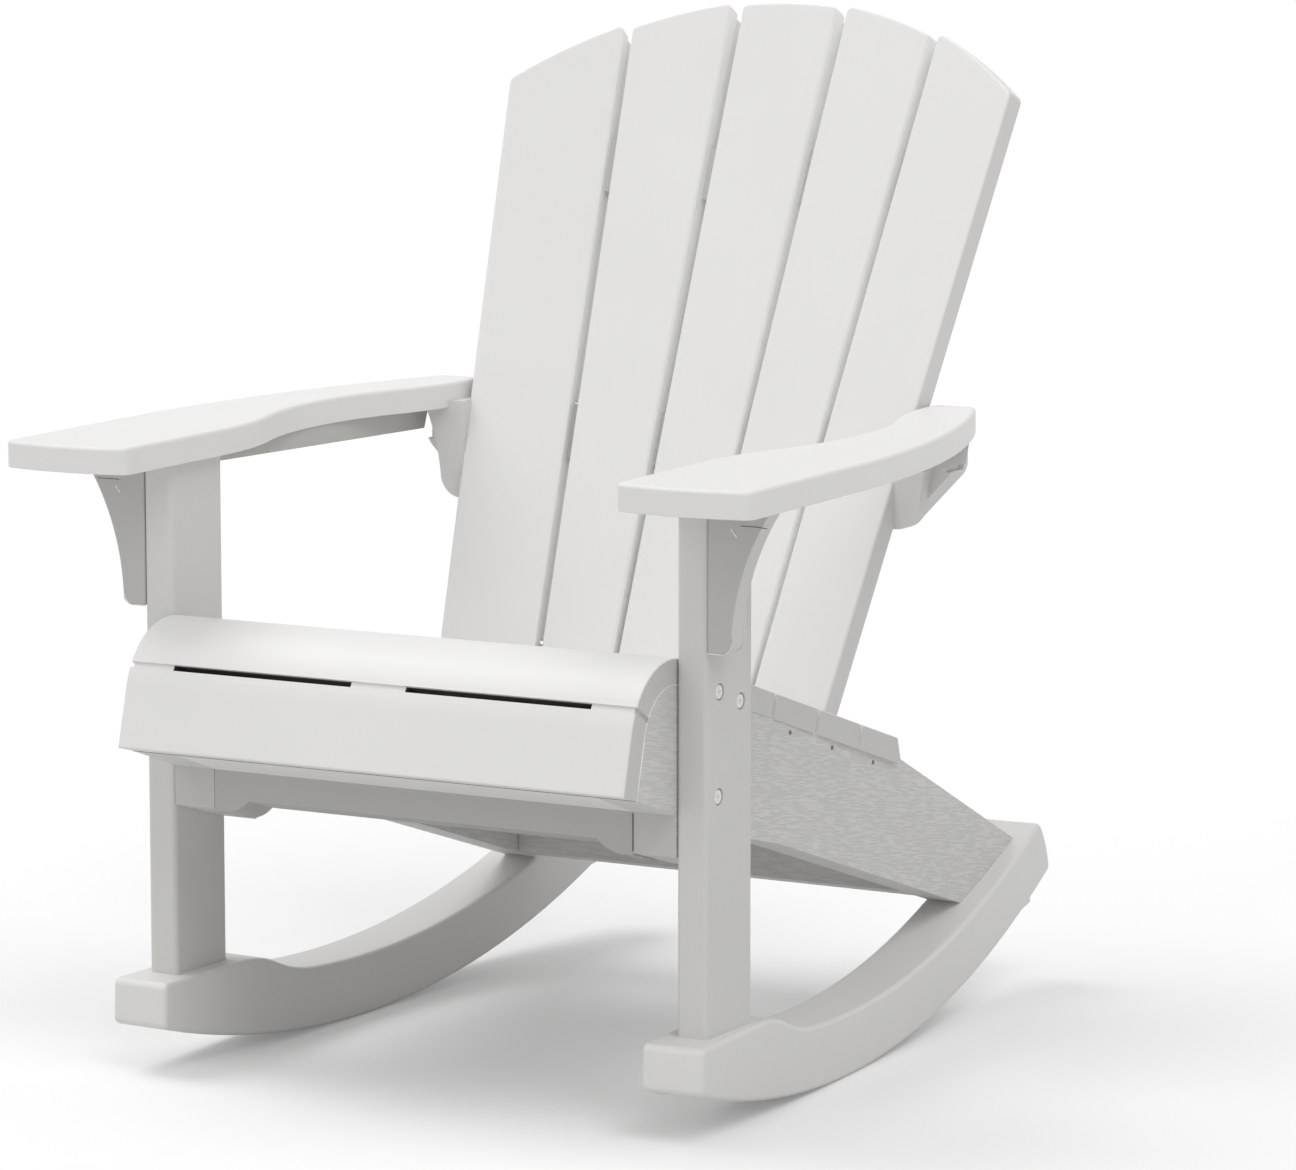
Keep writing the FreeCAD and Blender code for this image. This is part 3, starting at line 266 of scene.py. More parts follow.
def stipple_group() -> NodeTree:
    """Fine leathery stipple of a spark-eroded mould: outputs Height and Tone."""
    tree = new_group(
        "moulded_stipple",
        {"Vector": ("NodeSocketVector", 0.0), "Scale": ("NodeSocketFloat", 700.0)},
        {"Height": "NodeSocketFloat", "Tone": "NodeSocketFloat"},
    )
    inside = tree.nodes["Input"].outputs
    pebble = tree.nodes.new("ShaderNodeTexVoronoi")
    pebble.feature = "SMOOTH_F1"
    tree.links.new(inside["Vector"], pebble.inputs["Vector"])
    tree.links.new(inside["Scale"], pebble.inputs["Scale"])
    pebble.inputs["Smoothness"].default_value = 0.6
    fine_scale = math_node(tree, "MULTIPLY", inside["Scale"], 1.7)
    fine = noise(tree, inside["Vector"], fine_scale, detail=3.0, roughness=0.6)
    coarse_scale = math_node(tree, "MULTIPLY", inside["Scale"], 0.35)
    coarse = noise(tree, inside["Vector"], coarse_scale, detail=2.0)
    mixed = math_node(tree, "ADD", pebble.outputs["Distance"], math_node(tree, "MULTIPLY", fine, 0.6))
    mixed = math_node(tree, "ADD", mixed, math_node(tree, "MULTIPLY", coarse, 0.7))
    height = math_node(tree, "MULTIPLY", mixed, 0.45)
    tree.links.new(height, tree.nodes["Output"].inputs["Height"])
    tree.links.new(fine, tree.nodes["Output"].inputs["Tone"])
    return tree


def grain_group() -> NodeTree:
    """Moulded wood grain that runs along Y: outputs Height and Tone, flat where Mask is 0."""
    tree = new_group(
        "moulded_grain",
        {
            "Vector": ("NodeSocketVector", 0.0),
            "Scale": ("NodeSocketFloat", 1.0),
            "Mask": ("NodeSocketFloat", 1.0),
        },
        {"Height": "NodeSocketFloat", "Tone": "NodeSocketFloat"},
    )
    inside = tree.nodes["Input"].outputs
    sway = noise(tree, stretched(tree, inside["Vector"], (1.0, 0.5, 1.0)), 25.0, detail=2.0)
    shift = math_node(tree, "MULTIPLY", sway, 5.0 * MM)
    lift = tree.nodes.new("ShaderNodeCombineXYZ")
    tree.links.new(shift, lift.inputs["X"])
    tree.links.new(shift, lift.inputs["Z"])
    moved = tree.nodes.new("ShaderNodeVectorMath")
    tree.links.new(inside["Vector"], moved.inputs[0])
    tree.links.new(lift.outputs[0], moved.inputs[1])
    stroke_scale = math_node(tree, "MULTIPLY", inside["Scale"], 620.0)
    strokes = noise(tree, stretched(tree, moved.outputs[0], (1.0, 0.07, 1.0)), stroke_scale, detail=2.0)
    broad_scale = math_node(tree, "MULTIPLY", inside["Scale"], 230.0)
    broad = noise(tree, stretched(tree, moved.outputs[0], (1.0, 0.13, 1.0)), broad_scale, detail=2.0)
    ridge = smooth_step(tree, strokes, 0.43, 0.55)
    height = math_node(tree, "ADD", math_node(tree, "MULTIPLY", ridge, 0.6),
                       math_node(tree, "MULTIPLY", broad, 0.3))
    height = math_node(tree, "MULTIPLY", height, inside["Mask"])
    tree.links.new(height, tree.nodes["Output"].inputs["Height"])
    hollow = math_node(tree, "SUBTRACT", 1.0, ridge)
    tone = math_node(tree, "SUBTRACT", 1.0, math_node(tree, "MULTIPLY", hollow, inside["Mask"]))
    tree.links.new(tone, tree.nodes["Output"].inputs["Tone"])
    return tree


def facing_group() -> NodeTree:
    """Mask of the faces that look along one axis, either way: outputs Mask."""
    tree = new_group(
        "facing_mask",
        {"Axis": ("NodeSocketVector", 0.0), "Limit": ("NodeSocketFloat", 0.6)},
        {"Mask": "NodeSocketFloat"},
    )
    inside = tree.nodes["Input"].outputs
    normal = tree.nodes.new("ShaderNodeNewGeometry").outputs["True Normal"]
    dot = tree.nodes.new("ShaderNodeVectorMath")
    dot.operation = "DOT_PRODUCT"
    tree.links.new(normal, dot.inputs[0])
    tree.links.new(inside["Axis"], dot.inputs[1])
    size = math_node(tree, "ABSOLUTE", dot.outputs["Value"], 0.0)
    full = math_node(tree, "ADD", inside["Limit"], 0.25)
    shown = smooth_step(tree, size, inside["Limit"], full)
    tree.links.new(shown, tree.nodes["Output"].inputs["Mask"])
    return tree


def mottle_group() -> NodeTree:
    """Slow flow marks and handling haze of a large moulding: outputs Tone and Haze."""
    tree = new_group(
        "flow_mottle",
        {"Vector": ("NodeSocketVector", 0.0)},
        {"Tone": "NodeSocketFloat", "Haze": "NodeSocketFloat"},
    )
    inside = tree.nodes["Input"].outputs
    flow = noise(tree, stretched(tree, inside["Vector"], (1.0, 0.5, 1.0)), 5.0,
                 detail=3.0, roughness=0.55, distortion=0.4)
    haze = noise(tree, inside["Vector"], 23.0, detail=4.0, roughness=0.6)
    tree.links.new(flow, tree.nodes["Output"].inputs["Tone"])
    tree.links.new(haze, tree.nodes["Output"].inputs["Haze"])
    return tree


class Groups:
    """The node groups that several finishes share, each built once."""

    def __init__(self) -> None:
        """Build every group."""
        self.relief = {Relief.STIPPLE: stipple_group(), Relief.GRAIN: grain_group()}
        self.mottle = mottle_group()
        self.facing = facing_group()


def new_material(name: str) -> bpy.types.Material:
    """Make a material with a plain Principled shader."""
    made = bpy.data.materials.new(name)
    made.use_nodes = True
    return made


@dataclass(frozen=True)
class ResinFinish:
    """Off-white moulded resin with one of the moulds' textures.

    Attributes:
        name: The material's name.
        slot: The record's material slot. Not used.
        tone: sRGB colour of the resin.
        roughness: Mean roughness.
        relief: The mould's texture.
        relief_scale: Scale passed to the texture's group.
        relief_depth: Bump distance in metres.
        turn: Rotation of the texture in degrees, so that grain runs along the member.
        faces: Axis along which grained faces look. The faces across it stay smooth.
        tone_dip: How far below the tone the flow marks reach, in sRGB steps.
        tone_lift: How far above it they reach.
        haze_spread: Range over which handling haze varies the roughness.
        satin_scale: Scale of the soft relief of a satin face.
        hollow_tint: sRGB tint of a texture's hollows.
        refraction: Index of refraction.
    """

    name: str
    slot: str
    tone: Triple
    roughness: float
    relief: Relief = Relief.SATIN
    relief_scale: float = 1.0
    relief_depth: float = 0.0002
    turn: Triple = (0.0, 0.0, 0.0)
    faces: Triple = (1.0, 0.0, 0.0)

    tone_dip = 3.0
    tone_lift = 2.5
    haze_spread = 0.12
    satin_scale = 160.0
    hollow_tint = (243.0, 243.0, 242.0)
    refraction = 1.48

    def texture(self, tree: NodeTree, where: Socket, groups: Groups) -> bpy.types.Node:
        """Add the mould's stipple or grain, turned to run along the member.

        Args:
            tree: The material's tree.
            where: Coordinates at which textures are read.
            groups: The shared node groups.

        Returns:
            The texture's node, with outputs Height and Tone.
        """
        turned = tree.nodes.new("ShaderNodeMapping")
        turned.inputs["Rotation"].default_value = [math.radians(angle) for angle in self.turn]
        tree.links.new(where, turned.inputs["Vector"])
        node = use_group(tree, groups.relief[self.relief])
        tree.links.new(turned.outputs[0], node.inputs["Vector"])
        node.inputs["Scale"].default_value = self.relief_scale
        if self.relief is Relief.GRAIN:
            facing = use_group(tree, groups.facing)
            facing.inputs["Axis"].default_value = self.faces
            tree.links.new(facing.outputs["Mask"], node.inputs["Mask"])
        return node

    def material(self, groups: Groups) -> bpy.types.Material:
        """Build the material.

        Args:
            groups: The shared node groups.

        Returns:
            The finished material.
        """
        made = new_material(self.name)
        tree = made.node_tree
        shader = tree.nodes["Principled BSDF"]
        where = tree.nodes.new("ShaderNodeTexCoord").outputs["Object"]
        mottle = use_group(tree, groups.mottle)
        tree.links.new(where, mottle.inputs["Vector"])
        dark = colour(*(tone - self.tone_dip for tone in self.tone))
        light = colour(*(tone + self.tone_lift for tone in self.tone))
        base = colour_mix(tree, mottle.outputs["Tone"], dark, light)
        haze = math_node(tree, "MULTIPLY", mottle.outputs["Haze"], self.haze_spread)
        rough = math_node(tree, "ADD", haze, self.roughness - self.haze_spread / 2)
        if self.relief is Relief.SATIN:
            height = noise(tree, where, self.satin_scale, detail=3.0)
        else:
            texture = self.texture(tree, where, groups)
            height = texture.outputs["Height"]
            hollow = math_node(tree, "SUBTRACT", 1.0, texture.outputs["Tone"])
            base = colour_mix(tree, hollow, base, colour(*self.hollow_tint), "MULTIPLY")
        bump = tree.nodes.new("ShaderNodeBump")
        bump.inputs["Strength"].default_value = 1.0
        bump.inputs["Distance"].default_value = self.relief_depth
        tree.links.new(height, bump.inputs["Height"])
        tree.links.new(base, shader.inputs["Base Color"])
        tree.links.new(rough, shader.inputs["Roughness"])
        tree.links.new(bump.outputs["Normal"], shader.inputs["Normal"])
        shader.inputs["IOR"].default_value = self.refraction
        return made


@dataclass(frozen=True)
class ScrewFinish:
    """Off-white lacquer over steel, finely mottled by wear.

    Attributes:
        name: The material's name.
        slot: The record's material slot. Not used.
        tone: sRGB colour of fresh lacquer.
        wear_dip: How much darker worn lacquer is, in sRGB steps.
        wear_scale: Scale of the mottle.
        haze_spread: Range over which handling haze varies the roughness.
        least_roughness: Roughness where there is no haze.
    """

    name: str = "lacquered_screw"
    slot: str = "screw"
    tone: Triple = (248.0, 247.0, 245.0)

    wear_dip = 14.0
    wear_scale = 420.0
    haze_spread = 0.2
    least_roughness = 0.24

    def material(self, groups: Groups) -> bpy.types.Material:
        """Build the material.

        Args:
            groups: The shared node groups.

        Returns:
            The finished material.
        """
        made = new_material(self.name)
        tree = made.node_tree
        shader = tree.nodes["Principled BSDF"]
        where = tree.nodes.new("ShaderNodeTexCoord").outputs["Object"]
        mottle = use_group(tree, groups.mottle)
        tree.links.new(where, mottle.inputs["Vector"])
        worn = noise(tree, where, self.wear_scale, detail=3.0, roughness=0.6)
        dark = colour(*(tone - self.wear_dip for tone in self.tone))
        lacquer = colour_mix(tree, worn, colour(*self.tone), dark)
        tree.links.new(lacquer, shader.inputs["Base Color"])
        haze = math_node(tree, "MULTIPLY", mottle.outputs["Haze"], self.haze_spread)
        rough = math_node(tree, "ADD", haze, self.least_roughness)
        tree.links.new(rough, shader.inputs["Roughness"])
        return made


Finish = ResinFinish | ScrewFinish

SATIN = ResinFinish("satin_resin", "resin_smooth", (231.0, 230.5, 229.0), 0.46, relief_depth=0.0001)
# Darker tone of the seat's ends: painted shade on the seat's side faces.
SEAT_END_SHADE = ResinFinish(
    "seat_end_painted_shade", "resin_smooth", (209.0, 208.5, 206.5), 0.52, Relief.STIPPLE, 760.0, 0.00008)
# Near-black tone of the slots' deep walls: painted shade.
SLOT_WALL_SHADE = ResinFinish("slot_wall_painted_shade", "resin_smooth", (74.0, 73.0, 71.0), 0.7)
STIPPLED = ResinFinish("stippled_resin", "resin", (219.0, 218.5, 216.0), 0.58, Relief.STIPPLE, 620.0, 0.0002)
# Darker tone of the gussets' fronts and the arm ribs: painted shade under the armrests.
BRACKET_SHADE = ResinFinish("bracket_painted_shade", "resin", (194.0, 193.0, 190.5), 0.6, Relief.STIPPLE, 760.0, 0.00012)
# Darker tone of the cross-bar: painted shade under the seat's front.
BAR_SHADE = ResinFinish("bar_painted_shade", "resin_grained", (188.0, 187.0, 184.5), 0.6, Relief.STIPPLE, 760.0, 0.00012)
# Darker tone of the outermost slats' outer edges: painted shade.
SLAT_EDGE_SHADE = ResinFinish("slat_edge_painted_shade", "resin_smooth", (219.0, 218.0, 216.5), 0.5)
# Lighter tone of the slats' edges beside the gaps: painted light where little light comes in.
GAP_WALL_LIGHT = ResinFinish("gap_wall_painted_light", "resin_smooth", (247.0, 246.0, 244.5), 0.5)
# Dark cords in the seams between parts: painted shade.
PAINTED_SEAM_SHADE = ResinFinish("seam_shade", "resin", (92.0, 91.0, 89.0), 0.7)
RAIL = ResinFinish("rail_resin", "resin", (224.0, 223.5, 221.5), 0.58, Relief.STIPPLE, 620.0, 0.00015)
# Lighter tone of the cross-bar's lip: painted light on faces that look down into the chair's shadow.
LIP_LIGHT = ResinFinish("lip_painted_light", "resin", (240.0, 239.5, 238.0), 0.5)
RUNNER = ResinFinish("runner_resin", "resin", (231.0, 230.5, 228.5), 0.52, Relief.STIPPLE, 900.0, 0.00008)
# Darker tone of the side panels' lugs: painted shade on faces that look forward or back.
LUG_SHADE = ResinFinish("lug_painted_shade", "resin", (200.0, 199.5, 197.5), 0.58, Relief.STIPPLE, 760.0, 0.00012)
SIDE_GRAIN = ResinFinish(
    "grained_side_resin", "resin_grained", (217.0, 216.5, 214.5), 0.58, Relief.GRAIN,
    relief_depth=0.00035, turn=(11.0, 0.0, 0.0))
CROSS_GRAIN = ResinFinish(
    "grained_cross_resin", "resin_grained", (216.0, 215.0, 213.0), 0.58, Relief.GRAIN,
    relief_depth=0.00035, turn=(0.0, 0.0, 90.0), faces=(0.0, 1.0, 0.0))
# Near-white tone of the hems and raised marks: painted highlight on edges that catch light.
HEM_HIGHLIGHT = ResinFinish("hem_painted_highlight", "resin_smooth", (250.0, 249.5, 248.5), 0.4)
SCREW = ScrewFinish()


@dataclass(frozen=True)
class Rounding:
    """How the moulded edges of a piece are rounded.

    Attributes:
        width: Distance from the sharp edge at which the round starts.
        steps: Faces across the round.
        angle: Edges that turn by more than this many degrees are rounded.
    """

    width: float
    steps: int = 3
    angle: float = 32.0


@dataclass(frozen=True)
class Zone:
    """Faces of a moulding that carry a finish of their own.

    Attributes:
        finish: The finish.
        holds: Tells from a face's middle and its outward normal whether the face is in the zone.
    """

    finish: ResinFinish
    holds: Callable[[Vector, Vector], bool]


@dataclass(frozen=True)
class Joint:
    """A joint between two of the seat's boards, as the chair's side shows it.

    Attributes:
        place: Where the joint's middle meets the seat's surface, as (y, z).
        normal: Outward normal of the surface there, as (y, z).
        reach: How far the walls of its slot may lie from its middle.
        shade: Depth at which the slot falls into shade.
        half_length: Half the width of the seat in which its slots lie.
    """

    place: tuple[float, float]
    normal: tuple[float, float]

    reach = 3.6 * MM
    shade = 3.6 * MM
    half_length = 235.0 * MM

    def depth(self, point: Vector) -> float:
        """How deep a point lies under the seat's surface."""
        return (self.place[0] - point.y) * self.normal[0] + (self.place[1] - point.z) * self.normal[1]

    def holds(self, point: Vector) -> bool:
        """Whether a point lies between the joint's two walls."""
        offset = (point.y - self.place[0]) * self.normal[1] - (point.z - self.place[1]) * self.normal[0]
        between = abs(offset) < self.reach and abs(point.x) < self.half_length
        return between and self.depth(point) > 0.0

    def shaded(self, middle: Vector, _normal: Vector) -> bool:
        """Whether a face lies in the slot's shade."""
        return self.holds(middle) and self.depth(middle) > self.shade

    def split(self, shape: bmesh.types.BMesh) -> None:
        """Split the slot's walls where their shade begins."""
        walls = [face for face in shape.faces if self.holds(face.calc_center_median())]
        edges = {edge for face in walls for edge in face.edges}
        verts = {vert for face in walls for vert in face.verts}
        y, z = (place - slope * self.shade for place, slope in zip(self.place, self.normal))
        bmesh.ops.bisect_plane(shape, geom=[*walls, *edges, *verts], plane_co=Vector((0.0, y, z)),
                               plane_no=Vector((0.0, *self.normal)))


def welded(mesh: bpy.types.Mesh) -> bmesh.types.BMesh:
    """A mesh's form with its points joined and its flat faces whole. The caller frees it."""
    shape = bmesh.new()
    shape.from_mesh(mesh)
    bmesh.ops.remove_doubles(shape, verts=shape.verts, dist=WELD_REACH)
    bmesh.ops.dissolve_limit(shape, angle_limit=FLAT_ANGLE, verts=shape.verts, edges=shape.edges)
    return shape


def contact_edges(first: bpy.types.Mesh, second: bpy.types.Mesh,
                  reach: float = 0.15 * MM) -> list[list[Vector]]:
    """Find the sharp edges of one mesh that lie on another.

    Args:
        first: The mesh whose edges are wanted.
        second: The mesh that they lie on.
        reach: How far off they may be.

    Returns:
        The two ends of each edge.
    """
    tree = BVHTree.FromPolygons([vert.co for vert in second.vertices],
                                [tuple(face.vertices) for face in second.polygons])
    shape = welded(first)
    found = []
    for edge in shape.edges:
        if len(edge.link_faces) == 2 and edge.calc_face_angle() > SHARP_ANGLE:
            ends = [vert.co.copy() for vert in edge.verts]
            places = [*ends, (ends[0] + ends[1]) / 2]
            if all(tree.find_nearest(place, reach)[0] is not None for place in places):
                found.append(ends)
    shape.free()
    return found


def new_piece(name: str, shape: bmesh.types.BMesh) -> bpy.types.Object:
    """Turn a form into an object in the scene, and free the form."""
    mesh = bpy.data.meshes.new(name)
    shape.to_mesh(mesh)
    shape.free()
    piece = bpy.data.objects.new(name, mesh)
    bpy.context.scene.collection.objects.link(piece)
    return piece


def cord(name: str, runs: list[list[Vector]], radius: float) -> bpy.types.Object:
    """Lay thin round cords along straight runs.

    Args:
        name: The new object's name.
        runs: Start and end of each run.
        radius: Radius of the cord.

    Returns:
        One object with all cords.
    """
    shape = bmesh.new()
    for start, end in runs:
        along = end - start
        place = Matrix.Translation((start + end) / 2) @ along.to_track_quat("Z", "Y").to_matrix().to_4x4()
        bmesh.ops.create_cone(shape, cap_ends=True, segments=6, radius1=radius, radius2=radius,
                              depth=along.length + radius, matrix=place)
    piece = new_piece(name, shape)
    piece.data.shade_smooth()
    return piece


class Assembly(ABC):
    """A sub-assembly of the chair, dressed on its CAD nodes."""

    def __init__(self, frame: dict, groups: Groups) -> None:
        """Keep the frame and the shared groups.

        Args:
            groups: The shared node groups.
        """
        self.frame = frame
        self.groups = groups
        self.made: list[bpy.types.Object] = []

    def material(self, finish: Finish) -> bpy.types.Material:
        """A finish's material, built on first use."""
        return bpy.data.materials.get(finish.name) or finish.material(self.groups)

    def mounted(self, piece: bpy.types.Object, finish: Finish, *nodes: str) -> bpy.types.Object:
        """Dress a new piece, set it on the chair and note it.

        Args:
            piece: The piece, in place.
            finish: Its finish.
            nodes: CAD nodes that it stands for.

        Returns:
            The same piece.
        """
        piece.data.materials.append(self.material(finish))
        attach(piece, ROOT_BODY)
        if nodes:
            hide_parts(*nodes)
        self.made.append(piece)
        return piece

    def moulding(self, node: str, finish: Finish, rounding: Rounding, *zones: Zone,
                 joints: tuple[Joint, ...] = ()) -> bpy.types.Object:
        """Mould a node's form anew with rounded edges and clean shading, in place of the node.

        Args:
            node: The CAD node.
            finish: The finish of the moulding.
            rounding: How its edges are rounded.
            zones: Faces with finishes of their own.
            joints: Joints whose walls are split where their shade begins.

        Returns:
            The new piece.
        """
        shape = welded(self.frame["nodes"][node].data)
        for joint in joints:
            joint.split(shape)
        piece = new_piece(node + "_moulding", shape)
        piece.data.shade_smooth()
        bevel = piece.modifiers.new("rounding", "BEVEL")
        bevel.width = rounding.width
        bevel.segments = rounding.steps
        bevel.limit_method = "ANGLE"
        bevel.angle_limit = math.radians(rounding.angle)
        bevel.use_clamp_overlap = True
        even = piece.modifiers.new("even_shading", "WEIGHTED_NORMAL")
        even.weight = SHADING_WEIGHT
        self.mounted(piece, finish, node)
        for index, zone in enumerate(zones, start=1):
            piece.data.materials.append(self.material(zone.finish))
            for face in piece.data.polygons:
                if zone.holds(face.center, face.normal):
                    face.material_index = index
        return piece

    def hem(self, name: str, runs: list[list[Vector]], radius: float) -> None:
        """Lay a hem in painted highlight along straight runs, if there are any.

        Args:
            name: The hem's name.
            runs: Start and end of each run.
            radius: Radius of the hem.
        """
        LOG.info("%s: %d runs", name, len(runs))
        if runs:
            self.mounted(cord(name, runs, radius), HEM_HIGHLIGHT)

    @abstractmethod
    def build(self) -> None:
        """Make the sub-assembly's pieces."""

    def report(self) -> None:
        """Log each piece that was made."""
        for piece in self.made:
            LOG.info("%s: %s, %d faces", type(self).__name__, piece.name, len(piece.data.polygons))


class Runners(Assembly):
    """The two rockers with their stops and leg bolts."""

    edges = Rounding(2.0 * MM, 3)

    def build(self) -> None:
        """Mould the rockers and stops, and dress the bolts."""
        for side in Side:
            self.moulding(f"rocker_{side.value}", RUNNER, self.edges)
            self.moulding(f"rocker_stop_{side.value}", RUNNER, self.edges)
            self.moulding(f"leg_bolts_{side.value}", SCREW, Rounding(0.6 * MM, 2))


@dataclass(frozen=True)
class MouldMark:
    """A small mark on a gusset's front face.

    Attributes:
        side: The gusset's side. Not used.
        points: Its line as (x, z) in millimetres.
        raised: Whether it stands up and carries a painted highlight, rather than being a fine seam in
            painted shade.
    """

    side: Side
    points: tuple[tuple[float, float], ...]
    raised: bool


class FrontLegs(Assembly):
    """The front uprights, their gussets and screws.

    Attributes:
        leg_outer: Distance of the legs' outsides from the chair's middle.
        front: Where the legs' and gussets' fronts lie.
        side_slope: Share of an axis in the normal of a face that looks along it.
        foot_rise: Height above a gusset's lowest point up to which the hem follows its front.
        bend_rise: Height above that point up to which the hem follows its rear edge.
        hem_radius: Radius of the hem.
        raised_radius: Radius of a raised mark.
        seam_radius: Radius of a mark that is a fine seam.
        marks: The marks on the gussets' front faces.
    """

    leg_outer = 302.0 * MM
    front = -341.344 * MM
    side_slope = 0.35
    foot_rise = 7.0 * MM
    bend_rise = 32.0 * MM
    hem_radius = 0.5 * MM
    raised_radius = 0.8 * MM
    seam_radius = 0.35 * MM
    marks = (
        MouldMark(Side.RIGHT, ((335.7, 561.3), (349.8, 561.4), (361.8, 560.4)), False),
        MouldMark(Side.RIGHT, ((325.6, 558.0), (327.7, 554.5), (331.7, 551.2)), True),
        MouldMark(Side.LEFT, ((-353.7, 562.5), (-329.7, 562.5)), False),
        MouldMark(Side.LEFT, ((-333.2, 556.9), (-331.6, 553.2), (-328.8, 550.5)), True),
    )

    def gusset_hem_highlight(self, side: Side) -> None:
        """Lay the hem in painted highlight round the lower end of a gusset."""
        shape = welded(self.frame["nodes"][f"arm_gusset_{side.value}"].data)
        foot = min(vert.co.z for vert in shape.verts)
        back = max(vert.co.y for vert in shape.verts)
        runs = []
        for edge in shape.edges:
            ends = [vert.co.copy() for vert in edge.verts]
            middle = (ends[0] + ends[1]) / 2
            below = middle.z < foot + self.foot_rise and middle.y < self.front + MM
            behind = foot + MM < middle.z < foot + self.bend_rise and middle.y > back - MM
            level = abs(ends[0].y - ends[1].y) < MM
            outside = abs(middle.x) > self.leg_outer + MM
            if level and outside and (below or behind) and edge.calc_face_angle(0.0) > SHARP_ANGLE:
                runs.append(ends)
        shape.free()
        self.hem(f"gusset_hem_highlight_{side.value}", runs, self.hem_radius)

    def beside(self, middle: Vector, normal: Vector) -> bool:
        """Whether a face is part of a gusset's hollow outer side."""
        outward = normal.x * middle.x > 0.0 and abs(normal.x) > self.side_slope
        return outward and abs(normal.y) < self.side_slope

    def draw(self, number: int, mark: MouldMark) -> None:
        """Draw one of the marks that the mould left on a gusset's front face, a raised one in painted
        highlight and a seam in painted shade.
        """
        points = [Vector((x * MM, self.front, z * MM)) for x, z in mark.points]
        runs = [list(pair) for pair in zip(points, points[1:])]
        radius, finish = (self.raised_radius, HEM_HIGHLIGHT) if mark.raised else (self.seam_radius, PAINTED_SEAM_SHADE)
        self.mounted(cord(f"gusset_mark_{number}", runs, radius), finish)

    def build(self) -> None:
        """Mould the legs and gussets, and dress the screws."""
        for side in Side:
            self.moulding(f"front_leg_{side.value}", STIPPLED, Rounding(0.7 * MM, 2))
            # The gusset's front carries painted shade under the armrest; its outer side keeps the stippled
            # resin.
            self.moulding(f"arm_gusset_{side.value}", BRACKET_SHADE, Rounding(1.8 * MM, 3),
                          Zone(STIPPLED, self.beside))
            self.moulding(f"leg_screws_{side.value}", SCREW, Rounding(0.25 * MM, 1))
            self.gusset_hem_highlight(side)
        for number, mark in enumerate(self.marks, start=1):
            self.draw(number, mark)


class Seat(Assembly):
    """The seat moulding with its mock boards, and its hems in painted highlight over the panels.

    Attributes:
        apron_joint: The joint between the crest and the apron.
        slope: Outward normal of the surface that is sat on, as (y, z).
        board_joints: Where the joints meet that surface, from the rear forward, as (y, z) in
            millimetres.
        end: Distance from the chair's middle beyond which faces belong to the seat's ends.
        end_slope: Share of X in the normal of such a face.
        hem_radius: Radius of the hems.
    """

    apron_joint = Joint((-414.044 * MM, 401.0 * MM), (-0.8625, 0.506))
    slope = (0.3007, 0.9537)
    board_joints = (
        (28.656, 322.42), (-59.644, 350.26), (-147.944, 378.1), (-236.244, 405.94), (-324.544, 433.79))
    end = 235.0 * MM
    end_slope = 0.8
    hem_radius = 0.7 * MM

    def joints(self) -> tuple[Joint, ...]:
        """All joints: the apron's, and then those of the boards from the rear forward."""
        boards = [Joint((y * MM, z * MM), self.slope) for y, z in self.board_joints]
        return (self.apron_joint, *boards)

    def at_end(self, middle: Vector, normal: Vector) -> bool:
        """Whether a face is one of the seat's ends."""
        return abs(normal.x) > self.end_slope and abs(middle.x) > self.end

    def build(self) -> None:
        """Mould the seat and lay its hems."""
        joints = self.joints()
        # The slots' walls below their shade depth carry painted shade, and the seat's ends a darker tone of
        # painted shade.
        shades = [Zone(SLOT_WALL_SHADE, joint.shaded) for joint in joints]
        self.moulding("seat", SATIN, Rounding(0.8 * MM, 2), Zone(SEAT_END_SHADE, self.at_end), *shades,
                      joints=joints)
        seat = self.frame["nodes"]["seat"].data
        for side in Side:
            panel = self.frame["nodes"][f"side_panel_{side.value}"].data
            runs = [run for run in contact_edges(seat, panel) if run[0].x * side.sign > self.end]
            self.hem(f"seat_hem_highlight_{side.value}", runs, self.hem_radius)


